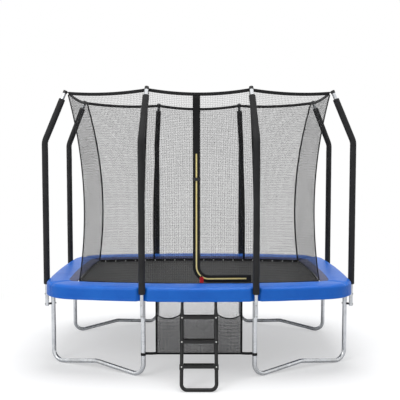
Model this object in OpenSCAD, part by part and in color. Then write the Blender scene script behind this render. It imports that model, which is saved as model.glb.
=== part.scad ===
// Rectangular garden trampoline with bowed sides, safety net, ladder and shoe bag.
// +X runs along the long side, +Z is up, and the door, the ladder and the shoe bag face -Y.
// The origin is on the ground, in the middle of the box that the whole trampoline fills.

/* [Frame] */
// Length of the frame, between the rail centrelines at the middle of the short sides
frame_length = 2874; // [2750:1:3100]
// Width of the frame, between the rail centrelines at the middle of the long sides
frame_width = 2042; // [1960:1:2200]
// Radius of the outward bow of the two long sides
long_bow_r = 6000; // [5200:10:9000]
// Radius of the outward bow of the two short sides
short_bow_r = 10000; // [7000:10:16000]
// Radius of the frame's rounded corners
corner_r = 300; // [290:1:340]
// Outer diameter of the frame rails and legs
rail_d = 42; // [38:0.5:44]
// Wall of every steel tube
tube_wall = 2; // [1.5:0.1:2.5]
// Height of the rail centreline above the ground
rail_h = 775; // [740:1:860]

/* [Legs] */
// Distance of a leg upright under a long side from the middle of that side
long_leg_x = 505; // [470:1:540]
// Distance of a leg upright under a short side from the middle of that side
short_leg_y = 535; // [500:1:560]
// Centreline radius of the bend at each foot
foot_bend_r = 100; // [80:1:130]
// Slope of the leg's base tube from each foot up to its kink, in degrees
base_slope = 7.6; // [4:0.1:9]
// Centreline radius of the kink in the middle of the leg's base tube
kink_r = 200; // [150:1:300]
// Diameter of the bolts that hold the enclosure poles to the legs
bolt_d = 8; // [6:0.5:8]
// Distance of the upper pole bolt below the rail centreline
bolt_drop = 101; // [91:1:110]
// Distance between the two bolts of a pole
bolt_pitch = 100; // [80:1:110]

/* [Enclosure poles] */
// Outer diameter of a pole
pole_d = 35; // [32:0.5:36]
// Distance of a long-side pole outside its leg upright
long_pole_out = 55; // [53:1:60]
// Distance of a short-side pole outside its leg upright
short_pole_out = 54; // [53:1:60]
// Shift of a short-side pole from its leg upright, towards the corner
short_pole_shift = 28; // [20:1:32]
// Distance of a pole's lower end below the rail centreline
pole_foot_drop = 220; // [213:1:235]
// Height of a pole's inward bend above the rail centreline
pole_bend_rise = 1370; // [1225:1:1475]
// Lean of the bent part of a pole from upright, in degrees
pole_lean = 22.5; // [18:0.5:26]
// Length of the bent part of a pole, up to the top of its cap
pole_top_len = 530; // [480:1:580]
// Centreline radius of the pole's bend
pole_bend_r = 150; // [120:1:200]
// Turn of the long-side poles' lean towards the middle of their side, in degrees
long_lean_turn = 11; // [6:0.5:14]
// Turn of the short-side poles' lean towards the middle of their side, in degrees
short_lean_turn = 10; // [6:0.5:14]
// Outer diameter of the foam sleeve on a pole
sleeve_d = 60; // [54:1:61]
// Distance of a foam sleeve's lower end below the rail centreline
sleeve_foot_drop = 7; // [-15:1:15]
// Length of bare pole and cap above a foam sleeve
sleeve_stop = 88; // [80:1:110]
// Length of a pole cap
cap_len = 30; // [28:1:40]

/* [Jumping mat] */
// Distance from the rail centreline to the edge of the mat
spring_gap = 250; // [240:1:258]
// Thickness of the mat
mat_t = 3; // [2:0.5:5]
// Number of springs along a long side
long_springs = 20; // [16:2:22]
// Number of springs along a short side
short_springs = 12; // [10:2:14]
// Outer diameter of a spring's coil
spring_d = 18; // [14:0.5:19]
// Length of a spring's coil
spring_coil = 140; // [110:1:145]

/* [Spring pad] */
// Distance that the pad reaches outside the rail on the long sides
long_pad_out = 62; // [58:1:70]
// Distance that the pad reaches outside the rail on the short sides
short_pad_out = 36; // [34:1:46]
// Height of the pad's crown above its underside
pad_t = 32; // [24:1:40]
// Distance of the skirt's lower edge below the rail centreline
skirt_drop = 69; // [50:1:80]
// Thickness of the skirt
skirt_t = 4; // [3:0.5:6]

/* [Safety net] */
// Thickness of the net panels
net_t = 2; // [1.5:0.1:3]
// Width of the net's strands between its gaps
strand_w = 22; // [12:1:40]
// Height of the hem along the net's lower edge
hem_w = 26; // [20:1:60]
// Height of the band along the net's upper edge
band_w = 31; // [24:1:34]
// Distance that the net is drawn in at half its height on the short sides
short_draw = 92; // [70:1:115]
// Distance that the net is drawn in at half its height on the long sides
long_draw = 60; // [40:1:80]
// Sag of the net's upper edge between the two poles of a long side
long_sag = 40; // [20:1:60]
// Sag of the net's upper edge between other poles
short_sag = 22; // [10:1:40]
// Width of the webbing along the door
door_w = 68; // [60:1:72]
// Width of the zip's tape and teeth
zip_w = 13; // [11:1:18]
// Radius of the bend at the lower corner of the zip
zip_bend_r = 118; // [105:1:130]
// Height of the zip's upper end above the rail centreline
zip_top_rise = 1251; // [1125:1:1325]
// Distance of the zip to the left of the door's middle
zip_left = 24; // [15:1:35]
// Distance of the zip's end to the right of the middle
zip_end_x = 446; // [400:1:460]

/* [Ladder] */
// Distance between the centrelines of the ladder's side tubes
ladder_w = 300; // [290:1:310]
// Lean of the ladder from upright, in degrees
ladder_lean = 25; // [24:0.5:27]
// Outer diameter of the ladder's lower tube
ladder_d = 32; // [30:0.5:34]
// Outer diameter of the ladder's upper tubes
ladder_top_d = 25; // [24:0.5:26]
// Distance of the first step below the rail, along the ladder
first_step = 226; // [215:1:235]
// Distance between the steps, along the ladder
step_pitch = 212; // [200:1:220]
// Depth of a step, front to back
step_depth = 78; // [65:1:90]
// Height of a step's front lip
step_lip = 26; // [24:1:32]
// Overall width of a step
step_w = 338; // [336:1:350]

/* [Shoe bag] */
// Overall width of the shoe bag
bag_w = 790; // [740:1:800]
// Height of the shoe bag's lower edge above the ground
bag_foot_h = 200; // [180:1:230]
// Height of the shoe bag's upper edge above the ground
bag_top_drop = 30; // [28:1:40]
// Height of the pockets' mouths above the ground
pocket_top_h = 583; // [550:1:610]
// Depth of a pocket
pocket_depth = 22; // [16:1:24]

/* [Hidden] */

STEEL = [0.78, 0.79, 0.80];
FOAM = [0.16, 0.16, 0.16];
BLACK = [0.10, 0.10, 0.10];
MAT_GREY = [0.24, 0.24, 0.24];
PAD_BLUE = [0.16, 0.40, 0.80];
NET_BLACK = [0.14, 0.14, 0.15];
ZIP_YELLOW = [0.86, 0.78, 0.42];
RIBBON_RED = [0.80, 0.16, 0.20];
WHITE = [0.92, 0.92, 0.92];

TUBE_FN = 48;
BOW_FN = 720;
BEND_FN = 96;
FIT = 0.3;              // gap between pieces that rest on each other
SLIP = 0.2;             // radial gap of a tube pushed into another tube
SEAT = 0.5;             // gap at a butt joint of two tubes

rail_r = rail_d / 2;
rail_bore = rail_r - tube_wall;
half_l = frame_length / 2;
half_w = frame_width / 2;
bolt_h = rail_h - bolt_drop;
pole_foot_h = rail_h - pole_foot_drop;
pole_bend_h = rail_h + pole_bend_rise;
sleeve_foot_h = rail_h - sleeve_foot_drop;
skirt_h = rail_h - skirt_drop;
zip_top_h = rail_h + zip_top_rise;
bag_top_h = rail_h - bag_top_drop;

// ---- plan outlines: two bowed sides and a round corner, in the +X +Y quarter ----
// An outline is [half length, half width, long side radius, short side radius, corner radius].
RAIL_LINE = [half_l, half_w, long_bow_r, short_bow_r, corner_r];
function grown(line, by) = [for (size = line) size + by];
function long_centre(line) = [0, line[1] - line[2]];
function short_centre(line) = [line[0] - line[3], 0];
function corner_centre(line) =
    let (a = long_centre(line), b = short_centre(line))
    let (ra = line[2] - line[4], rb = line[3] - line[4])
    let (span = norm(b - a), along = (b - a) / span, across = [-along.y, along.x])
    let (reach = (ra * ra - rb * rb + span * span) / (2 * span))
    a + along * reach - across * sqrt(ra * ra - reach * reach);
// Angle, from +X, at which the corner arc meets the long side and the short side
function corner_long_angle(line) =
    let (d = corner_centre(line) - long_centre(line)) atan2(d.y, d.x);
function corner_short_angle(line) =
    let (d = corner_centre(line) - short_centre(line)) atan2(d.y, d.x);
function arc(centre, r, from, to, steps) =
    [for (i = [0:steps]) let (t = from + (to - from) * i / steps) centre + r * [cos(t), sin(t)]];
function long_y(line, x) = long_centre(line).y + sqrt(line[2] * line[2] - x * x);
function short_x(line, y) = short_centre(line).x + sqrt(line[3] * line[3] - y * y);
function corner_mid_angle(line) = (corner_long_angle(line) + corner_short_angle(line)) / 2;
function corner_point(line) =
    corner_centre(line) + line[4] * [cos(corner_mid_angle(line)), sin(corner_mid_angle(line))];

LONG_STEPS = 9;
CORNER_STEPS = 3;
SHORT_STEPS = 5;
// Half of a long side, from its middle to the middle of the corner
function half_long(line) = concat(
    arc(long_centre(line), line[2], 90, corner_long_angle(line), LONG_STEPS),
    [for (i = [1:CORNER_STEPS])
        let (t = corner_long_angle(line)
            + (corner_mid_angle(line) - corner_long_angle(line)) * i / CORNER_STEPS)
        corner_centre(line) + line[4] * [cos(t), sin(t)]]);
// Half of a short side, from the middle of the corner to the middle of the side
function half_short(line) = concat(
    [for (i = [0:CORNER_STEPS - 1])
        let (t = corner_mid_angle(line)
            + (corner_short_angle(line) - corner_mid_angle(line)) * i / CORNER_STEPS)
        corner_centre(line) + line[4] * [cos(t), sin(t)]],
    arc(short_centre(line), line[3], corner_short_angle(line), 0, SHORT_STEPS));
function flip_x(points) = [for (i = [len(points) - 1:-1:0]) [-points[i].x, points[i].y]];
function flip_y(points) = [for (i = [len(points) - 1:-1:0]) [points[i].x, -points[i].y]];
function without_first(points) = [for (i = [1:len(points) - 1]) points[i]];
function whole_quarter(line) = concat(half_long(line), without_first(half_short(line)));
module outline_2d(line) {
    quarter = whole_quarter(line);
    opposite = [for (p = quarter) [-p.x, -p.y]];
    polygon(concat(quarter, without_first(flip_y(quarter)),
        without_first(opposite), without_first(flip_x(quarter))));
}

// ---- places ----
long_leg = [long_leg_x, long_y(RAIL_LINE, long_leg_x)];
short_leg = [short_x(RAIL_LINE, short_leg_y), short_leg_y];
LONG_POLE_SHIFT = 6;    // how far a long-side pole stands nearer the corner than its leg
long_pole = long_leg + [LONG_POLE_SHIFT, long_pole_out];
short_pole = short_leg + [short_pole_out, short_pole_shift];
// Angle, from +X, in which a pole leans
long_lean_dir = 270 - long_lean_turn;
short_lean_dir = 180 + short_lean_turn;

pad_seat_h = rail_h + rail_r + FIT;         // underside of the pad where it lies on the rail
ladder_pivot_x = ladder_w / 2;
ladder_pivot = [long_y(RAIL_LINE, ladder_pivot_x), rail_h];
ladder_r = ladder_d / 2;
ladder_len = (rail_h - ladder_r) / cos(ladder_lean);
front_reach = ladder_pivot.x + ladder_len * sin(ladder_lean) + ladder_r;
rear_reach = long_pole.y + sleeve_d / 2;
origin_shift = (front_reach - rear_reach) / 2;

// Draws its children in the part's own frame
module placed() {
    translate([0, origin_shift, 0]) children();
}
// Turns a piece drawn in the +X +Y quarter to another quarter
module quarter(side_x, side_y) {
    placed() mirror([side_x < 0 ? 1 : 0, 0, 0]) mirror([0, side_y < 0 ? 1 : 0, 0]) children();
}

// ---- tubes ----
module ring_2d(outer, inner) {
    difference() {
        circle(r = outer, $fn = TUBE_FN);
        circle(r = inner, $fn = TUBE_FN);
    }
}
// A tube along an arc in plan
module arc_tube(centre, r, from, to, outer, inner) {
    translate([centre.x, centre.y, rail_h]) rotate(from)
        rotate_extrude(angle = to - from, $fn = BOW_FN) translate([r, 0]) ring_2d(outer, inner);
}
// A solid rod along an arc in plan
module arc_rod(centre, r, from, to, outer) {
    translate([centre.x, centre.y, rail_h]) rotate(from)
        rotate_extrude(angle = to - from, $fn = BOW_FN) translate([r, 0])
            circle(r = outer, $fn = TUBE_FN);
}

// A bend about Z that starts on +X. It is a little thinner than the straight rods that it laps.
BEND_LAP = 1.5;
BEND_THIN = 0.15;
module bend_rod(r, bend_r, turn) {
    lap = turn_of(BEND_LAP, bend_r);
    rotate(-lap) rotate_extrude(angle = turn + 2 * lap, $fn = BEND_FN) translate([bend_r, 0])
        circle(r = r - BEND_THIN, $fn = TUBE_FN);
}

// ---- frame rails ----
SOCKET_HALF = 60;       // rail on the middle's side of a leg socket
SPIGOT_LEN = 50;
SWAGE_LEN = 15;
COLLAR_R = 24;
COLLAR_DROP = 18;       // collar below the rail
STUB_LEN = 110;
spigot_r = rail_bore - SLIP;
long_joint = asin((long_leg_x - SOCKET_HALF) / long_bow_r);
short_joint = asin((short_leg_y - SOCKET_HALF) / short_bow_r);
function turn_of(length, r) = length / r * 180 / PI;

// A middle rail with a spigot at each end, bowed about its centre and facing the angle facing
module middle_rail(centre, r, facing, half_turn) {
    arc_tube(centre, r, facing - half_turn, facing + half_turn, rail_r, rail_bore);
    for (side = [-1, 1]) {
        outer_end = side * (half_turn + turn_of(SPIGOT_LEN, r));
        inner_end = side * (half_turn - turn_of(SWAGE_LEN, r));
        arc_tube(centre, r, facing + min(outer_end, inner_end), facing + max(outer_end, inner_end),
            spigot_r, spigot_r - tube_wall);
        swage_end = side * half_turn;
        arc_tube(centre, r, facing + min(swage_end, inner_end), facing + max(swage_end, inner_end),
            rail_r - tube_wall / 2, spigot_r - tube_wall / 2);
    }
}
module long_rail(side_y) {
    color(STEEL) quarter(1, side_y)
        middle_rail(long_centre(RAIL_LINE), long_bow_r, 90, long_joint);
}
module short_rail(side_x) {
    color(STEEL) quarter(side_x, 1)
        middle_rail(short_centre(RAIL_LINE), short_bow_r, 0, short_joint);
}
// The collar and stub that a leg plugs onto
module leg_stub(at) {
    translate([at.x, at.y, rail_h - rail_r - COLLAR_DROP])
        cylinder(r = COLLAR_R, h = rail_r + COLLAR_DROP, $fn = TUBE_FN);
    translate([at.x, at.y, rail_h - rail_r - STUB_LEN])
        cylinder(r = spigot_r, h = STUB_LEN, $fn = TUBE_FN);
}
module corner_rail_arcs(outer) {
    line = RAIL_LINE;
    lap = turn_of(BEND_LAP, line[4]);
    arc_rod(long_centre(line), line[2], corner_long_angle(line),
        90 - long_joint - turn_of(SEAT, long_bow_r), outer);
    arc_rod(corner_centre(line), line[4], corner_short_angle(line) - lap,
        corner_long_angle(line) + lap, outer - BEND_THIN);
    arc_rod(short_centre(line), line[3], short_joint + turn_of(SEAT, short_bow_r),
        corner_short_angle(line), outer);
}
module corner_rail(side_x, side_y) {
    color(STEEL) quarter(side_x, side_y) difference() {
        union() {
            corner_rail_arcs(rail_r);
            leg_stub(long_leg);
            leg_stub(short_leg);
        }
        corner_rail_arcs(rail_bore);
        for (at = [long_leg, short_leg]) {
            translate([at.x, at.y, rail_h - rail_r - STUB_LEN - 1])
                cylinder(r = spigot_r - tube_wall, h = STUB_LEN + 1, $fn = TUBE_FN);
        }
        pole_bolt_holes();
    }
}

// ---- legs ----
leg_r = rail_r;
leg_top = rail_h - rail_r - COLLAR_DROP - SEAT;
leg_span = norm(short_leg - long_leg);
leg_angle = atan2(short_leg.y - long_leg.y, short_leg.x - long_leg.x);
foot_z = foot_bend_r + leg_r;
slope_start = [foot_bend_r * (1 + sin(base_slope)), foot_z - foot_bend_r * cos(base_slope)];
kink_x = leg_span / 2 - kink_r * sin(base_slope);
slope_len = (kink_x - slope_start.x) / cos(base_slope);
kink_z = slope_start.y + slope_len * sin(base_slope);

// Half of the W-shaped leg, in its own upright plane, with X along the leg
module half_leg(r, top) {
    translate([0, foot_z, 0]) rotate([-90, 0, 0]) cylinder(r = r, h = top - foot_z, $fn = TUBE_FN);
    translate([foot_bend_r, foot_z, 0]) rotate(180) bend_rod(r, foot_bend_r, 90 + base_slope);
    translate([slope_start.x, slope_start.y, 0]) rotate(base_slope) rotate([0, 90, 0])
        cylinder(r = r, h = slope_len, $fn = TUBE_FN);
}
module leg_path(r, top) {
    half_leg(r, top);
    translate([leg_span, 0, 0]) mirror([1, 0, 0]) half_leg(r, top);
    translate([leg_span / 2, kink_z - kink_r * cos(base_slope), 0]) rotate(90 - base_slope)
        bend_rod(r, kink_r, 2 * base_slope);
}
module leg(side_x, side_y) {
    color(STEEL) quarter(side_x, side_y) difference() {
        translate([long_leg.x, long_leg.y, 0]) rotate(leg_angle) rotate([90, 0, 0]) difference() {
            leg_path(leg_r, leg_top);
            leg_path(rail_bore, leg_top + 1);
        }
        pole_bolt_holes();
    }
}

// ---- enclosure poles, in the +X +Y quarter ----
pole_r = pole_d / 2;
sleeve_r = sleeve_d / 2;
bend_tangent = pole_bend_r * tan(pole_lean / 2);
bend_start_h = pole_bend_h - bend_tangent;
POLE_CAP_SEAT = 8;      // top of the tube below the top of its cap
CAP_WALL = 3;

// A rod along a pole, which leans towards +X, from one height to a length up the bent part
module pole_rod(r, foot, top_len) {
    translate([0, 0, foot]) cylinder(r = r, h = bend_start_h - foot, $fn = TUBE_FN);
    translate([pole_bend_r, 0, bend_start_h]) rotate([90, 0, 0]) rotate(180 - pole_lean)
        bend_rod(r, pole_bend_r, pole_lean);
    translate([0, 0, pole_bend_h]) rotate([0, pole_lean, 0]) translate([0, 0, bend_tangent])
        cylinder(r = r, h = top_len - bend_tangent, $fn = TUBE_FN);
}
// Puts its children, drawn about a pole's axis, at the pole of a long or a short side
module at_pole(long_side) {
    at = long_side ? long_pole : short_pole;
    translate([at.x, at.y, 0]) rotate(long_side ? long_lean_dir : short_lean_dir) children();
}
// Puts its children on a bolt's axis, with Z from the leg's axis to the pole's axis
module at_bolt(long_side, height) {
    leg_at = long_side ? long_leg : short_leg;
    pole_at = long_side ? long_pole : short_pole;
    step = pole_at - leg_at;
    translate([leg_at.x, leg_at.y, height]) rotate(atan2(step.y, step.x)) rotate([0, 90, 0])
        children();
}
module at_bolts() {
    for (long_side = [true, false], height = [bolt_h, bolt_h - bolt_pitch]) {
        at_bolt(long_side, height) children();
    }
}
BOLT_HOLE_PLAY = 0.1;
bolt_hole_r = bolt_d / 2 + BOLT_HOLE_PLAY;
long_bolt_span = norm(long_pole - long_leg);
short_bolt_span = norm(short_pole - short_leg);
BOLT_BACK = 70;         // bolt hole's reach behind the leg's axis
BOLT_AHEAD = 98;        // bolt hole's reach past the leg's axis, through the pole
module pole_bolt_holes() {
    at_bolts() translate([0, 0, -BOLT_BACK])
        cylinder(r = bolt_hole_r, h = BOLT_BACK + BOLT_AHEAD, $fn = 24);
}
module pole(side_x, side_y, long_side) {
    color(STEEL) quarter(side_x, side_y) difference() {
        at_pole(long_side) difference() {
            pole_rod(pole_r, pole_foot_h, pole_top_len - POLE_CAP_SEAT);
            pole_rod(pole_r - tube_wall, pole_foot_h - 1, pole_top_len);
        }
        pole_bolt_holes();
    }
}
module sleeve(side_x, side_y, long_side) {
    color(FOAM) quarter(side_x, side_y) at_pole(long_side) difference() {
        pole_rod(sleeve_r, sleeve_foot_h, pole_top_len - sleeve_stop);
        pole_rod(pole_r + FIT, sleeve_foot_h - 1, pole_top_len);
    }
}
cap_r = pole_r + CAP_WALL;
CAP_DOME = 5;
// Where the net's band hangs, from the pole's bend: along the bent part and inwards from it
CAP_TAB_RISE = 15;      // tab's middle above the cap's lower end, along the pole
BAND_HANG = 13.5;       // band's middle, inwards from the cap
hang_along = pole_top_len - cap_len + CAP_TAB_RISE;
hang_in = cap_r + BAND_HANG;
hang_reach = hang_along * sin(pole_lean) + hang_in * cos(pole_lean);
hang_h = pole_bend_h + hang_along * cos(pole_lean) - hang_in * sin(pole_lean);
BAND_T = 5;
TAB_W = 10;
TAB_RISE = 3;           // lower face of a cap's tab above the middle of the band
TAB_H = 9;
TAB_LEN = 18;
module all_quarters() {
    for (side_x = [-1, 1], side_y = [-1, 1]) quarter(side_x, side_y) children();
}
module pole_caps() {
    color(BLACK) all_quarters() for (long_side = [true, false]) {
        at_pole(long_side) difference() {
            union() {
                translate([0, 0, pole_bend_h]) rotate([0, pole_lean, 0])
                    translate([0, 0, pole_top_len - cap_len]) rotate_extrude($fn = TUBE_FN) polygon([
                        [0, 0], [cap_r, 0], [cap_r, cap_len - CAP_DOME],
                        [cap_r - CAP_DOME / 2, cap_len - CAP_DOME / 4],
                        [cap_r - CAP_DOME * 1.5, cap_len], [0, cap_len]
                    ]);
                translate([hang_reach - BAND_T / 2 - FIT - TAB_LEN, -TAB_W / 2, hang_h + TAB_RISE])
                    cube([TAB_LEN, TAB_W, TAB_H]);
            }
            translate([0, 0, pole_bend_h]) rotate([0, pole_lean, 0])
                translate([0, 0, pole_top_len / 2])
                cylinder(r = pole_r + SLIP / 2, h = pole_top_len / 2 - POLE_CAP_SEAT + FIT,
                    $fn = TUBE_FN);
        }
    }
}
BOLT_HEAD_R = 8;
BOLT_HEAD_T = 5;
NUT_R = 7.5;
NUT_T = 6;
module pole_bolts() {
    color(STEEL) all_quarters() for (long_side = [true, false]) {
        for (height = [bolt_h, bolt_h - bolt_pitch]) at_bolt(long_side, height) {
            span = long_side ? long_bolt_span : short_bolt_span;
            shank_end = span + pole_r + FIT;
            translate([0, 0, -leg_r - NUT_T - 2])
                cylinder(r = bolt_d / 2, h = shank_end + leg_r + NUT_T + 2 + BOLT_HEAD_T / 2,
                    $fn = 24);
            translate([0, 0, shank_end]) rotate_extrude($fn = TUBE_FN) polygon([
                [0, 0], [BOLT_HEAD_R, 0], [BOLT_HEAD_R, 1], [BOLT_HEAD_R * 0.8, BOLT_HEAD_T * 0.7],
                [BOLT_HEAD_R * 0.4, BOLT_HEAD_T], [0, BOLT_HEAD_T]
            ]);
            translate([0, 0, -leg_r - FIT - NUT_T]) cylinder(r = NUT_R, h = NUT_T, $fn = 6);
        }
    }
}
SPACER_R = 10;
module pole_spacers() {
    color(BLACK) all_quarters() for (long_side = [true, false]) {
        span = long_side ? long_bolt_span : short_bolt_span;
        for (height = [bolt_h, bolt_h - bolt_pitch]) at_bolt(long_side, height) difference() {
            translate([0, 0, leg_r * 0.7]) cylinder(r = SPACER_R, h = span - leg_r, $fn = TUBE_FN);
            translate([-SPACER_R * 2, 0, 0]) rotate([0, 90, 0])
                cylinder(r = leg_r + FIT, h = SPACER_R * 4, $fn = TUBE_FN);
            translate([-SPACER_R * 2, 0, span]) rotate([0, 90, 0])
                cylinder(r = pole_r + FIT, h = SPACER_R * 4, $fn = TUBE_FN);
            cylinder(r = bolt_hole_r, h = span, $fn = 24);
        }
    }
}

// ---- mat, V-rings and springs ----
MAT_LINE = grown(RAIL_LINE, -spring_gap);
MAT_RISE = 15;          // top of the mat above the rail's axis
mat_top = rail_h + MAT_RISE;
STITCH_IN = 42;         // groove of the border's stitches, in from the mat's edge
STITCH_W = 2;
STITCH_DEPTH = 0.3;
module mat() {
    color(MAT_GREY) placed() difference() {
        translate([0, 0, mat_top - mat_t]) linear_extrude(mat_t) outline_2d(MAT_LINE);
        translate([0, 0, mat_top - STITCH_DEPTH]) linear_extrude(1) difference() {
            outline_2d(grown(MAT_LINE, -STITCH_IN));
            outline_2d(grown(MAT_LINE, -STITCH_IN - STITCH_W));
        }
    }
}
// Spring places as [point on the rail, unit vector towards the mat]
LONG_SPRING_GAP = 39.6; // last spring of a long side, short of the rail's corner bend
SHORT_SPRING_GAP = 4;   // last spring of a short side, short of the rail's corner bend
long_pitch = 2 * (long_bow_r * cos(corner_long_angle(RAIL_LINE)) - LONG_SPRING_GAP)
    / (long_springs - 1);
short_pitch = 2 * (short_bow_r * sin(corner_short_angle(RAIL_LINE)) - SHORT_SPRING_GAP)
    / (short_springs - 1);
function long_spring(i) =
    let (x = long_pitch * (i + 0.5), p = [x, long_y(RAIL_LINE, x)])
    [p, (long_centre(RAIL_LINE) - p) / long_bow_r];
function short_spring(i) =
    let (y = short_pitch * (i + 0.5), p = [short_x(RAIL_LINE, y), y])
    [p, (short_centre(RAIL_LINE) - p) / short_bow_r];
quarter_springs = concat(
    [for (i = [0:long_springs / 2 - 1]) long_spring(i)],
    [for (i = [0:short_springs / 2 - 1]) short_spring(i)]);
// Puts its children at a spring, with X from the rail's axis towards the mat
module at_springs() {
    for (place = quarter_springs) {
        translate([place[0].x, place[0].y, 0]) rotate(atan2(place[1].y, place[1].x)) children();
    }
}
RING_T = 4;
RING_OUT = 26;          // reach of a V-ring outside the mat
RING_IN = 14;           // reach of a V-ring over the mat
RING_HALF_W = 15;
RING_WIRE = 4;
module v_rings() {
    color(STEEL) all_quarters() at_springs()
        translate([spring_gap, 0, mat_top + FIT]) linear_extrude(RING_T) difference() {
            polygon([[-RING_OUT, 0], [RING_IN, RING_HALF_W], [RING_IN, -RING_HALF_W]]);
            polygon([
                [-RING_OUT + RING_WIRE * 3, 0],
                [RING_IN - RING_WIRE, RING_HALF_W - RING_WIRE * 1.6],
                [RING_IN - RING_WIRE, -RING_HALF_W + RING_WIRE * 1.6]
            ]);
        }
}
SPRING_WIRE_R = 1.8;
SPRING_RAIL_RISE = 5;   // rail end of a spring above the rail's axis
COIL_START = 16;        // end of a spring's coil, inside the rail's face
module springs() {
    start = [rail_r + FIT, rail_h + SPRING_RAIL_RISE];
    finish = [spring_gap - RING_OUT - FIT, mat_top + FIT + RING_T / 2];
    rise = finish - start;
    color(STEEL) all_quarters() at_springs()
        translate([start.x, 0, start.y]) rotate([0, 90 - atan2(rise.y, rise.x), 0]) {
            cylinder(r = SPRING_WIRE_R, h = norm(rise), $fn = 16);
            translate([0, 0, COIL_START]) cylinder(d = spring_d, h = spring_coil, $fn = TUBE_FN);
        }
}

// ---- shells and sweeps made of triangles ----
// A closed shell between two grids of points, whose rows run down and columns run to the right
// when seen from outside. With open set, every second cell of every second row is a gap.
module shell(outer, inner, open = false) {
    rows = len(outer);
    cols = len(outer[0]);
    at = function(side, i, j) (side * rows + i) * cols + j;
    solid = function(i, j) i >= 0 && j >= 0 && i < rows - 1 && j < cols - 1
        && !(open && i % 2 == 1 && j % 2 == 1);
    wall = function(i, j, k, l) [
        [at(0, k, l), at(0, i, j), at(1, i, j)], [at(0, k, l), at(1, i, j), at(1, k, l)]
    ];
    polyhedron(
        points = concat([for (row = outer) each row], [for (row = inner) each row]),
        faces = [for (i = [0:rows - 2], j = [0:cols - 2]) if (solid(i, j)) each concat(
            [[at(0, i, j), at(0, i, j + 1), at(0, i + 1, j + 1)]],
            [[at(0, i, j), at(0, i + 1, j + 1), at(0, i + 1, j)]],
            [[at(1, i, j), at(1, i + 1, j + 1), at(1, i, j + 1)]],
            [[at(1, i, j), at(1, i + 1, j), at(1, i + 1, j + 1)]],
            solid(i - 1, j) ? [] : wall(i, j, i, j + 1),
            solid(i, j + 1) ? [] : wall(i, j + 1, i + 1, j + 1),
            solid(i + 1, j) ? [] : wall(i + 1, j + 1, i + 1, j),
            solid(i, j - 1) ? [] : wall(i + 1, j, i, j)
        )]
    );
}
// A solid through rings of points, each clockwise when seen along the sweep. The ends of an
// open sweep are fans about the ring's point with the index hub.
module sweep(rings, closed = false, hub = 0) {
    sides = len(rings[0]);
    count = len(rings);
    at = function(i, j) (i % count) * sides + j % sides;
    polyhedron(
        points = [for (ring = rings) each ring],
        faces = concat(
            [for (i = [0:count - (closed ? 1 : 2)], j = [0:sides - 1]) each [
                [at(i, j), at(i + 1, j), at(i + 1, j + 1)],
                [at(i, j), at(i + 1, j + 1), at(i, j + 1)]
            ]],
            closed ? [] : [for (j = [1:sides - 2]) each [
                [at(0, hub), at(0, hub + j), at(0, hub + j + 1)],
                [at(count - 1, hub), at(count - 1, hub + j + 1), at(count - 1, hub + j)]
            ]]
        )
    );
}

// ---- spring pad ----
PAD_INNER_RISE = 6.7;   // underside of the pad at its inner edge, above its seat on the rail
PAD_LAP = 2;            // how far the pad reaches over the mat
PAD_EDGE = 4;           // thickness of the pad's inner edge
PAD_GAP = 0.3;          // half of the gap at a mitred corner
NOTCH_PLAY = 1;
WRAP_PLAY = 2;          // room beside what hooks over the front rail
pad_top_h = pad_seat_h + pad_t + PAD_INNER_RISE;
// The outline of the pad's section points: share of the overhang, then distance inwards
function pad_line(share, inwards) = grown([
    half_l + share * short_pad_out, half_w + share * long_pad_out,
    long_bow_r + share * long_pad_out, short_bow_r + share * short_pad_out,
    corner_r + share * (long_pad_out + short_pad_out) / 2
], -inwards);
// The pad's section as [share of the overhang, distance inwards, height], from its inner edge
// over the crown to the skirt and back along the underside
pad_inner = spring_gap + PAD_LAP;
PAD_SLOPE_END = 113.4;  // where the crown's flat part ends, in from the rail's axis
PAD_SLOPE_MID = 201.6;  // where half the crown's rise is reached, in from the rail's axis
PAD_FOLD_IN = 20;       // where the crown starts to fall, in from the skirt
PAD_FOLD_DROP = 11.5;   // fall of the crown there
PAD_EDGE_DROP = 29.1;   // top of the skirt below the crown
PAD_SECTION = [
    [0, pad_inner, pad_seat_h + PAD_INNER_RISE],
    [0, pad_inner, pad_seat_h + PAD_INNER_RISE + PAD_EDGE],
    [0, PAD_SLOPE_MID, pad_seat_h + PAD_INNER_RISE + pad_t / 2],
    [0, PAD_SLOPE_END, pad_top_h],
    [0, rail_r / 2, pad_top_h],
    [1, PAD_FOLD_IN, pad_top_h - PAD_FOLD_DROP],
    [1, 0, pad_top_h - PAD_EDGE_DROP],
    [1, 0, skirt_h],
    [1, skirt_t, skirt_h],
    [1, skirt_t, pad_seat_h],
    [0, rail_r, pad_seat_h]
];
PAD_HUB = 9;            // the section's inside corner, which sees all its other points
// Half of a pad's outline, from the middle of the side to just short of the corner's middle
function pad_half(line, long_side) =
    let (gap = turn_of(PAD_GAP, line[4]), mid = corner_mid_angle(line))
    let (start = long_side ? corner_long_angle(line) : corner_short_angle(line))
    let (finish = long_side ? mid + gap : mid - gap)
    concat(
        long_side ? arc(long_centre(line), line[2], 90, start, LONG_STEPS)
            : arc(short_centre(line), line[3], 0, start, SHORT_STEPS),
        without_first(arc(corner_centre(line), line[4], start, finish, CORNER_STEPS)));
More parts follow.
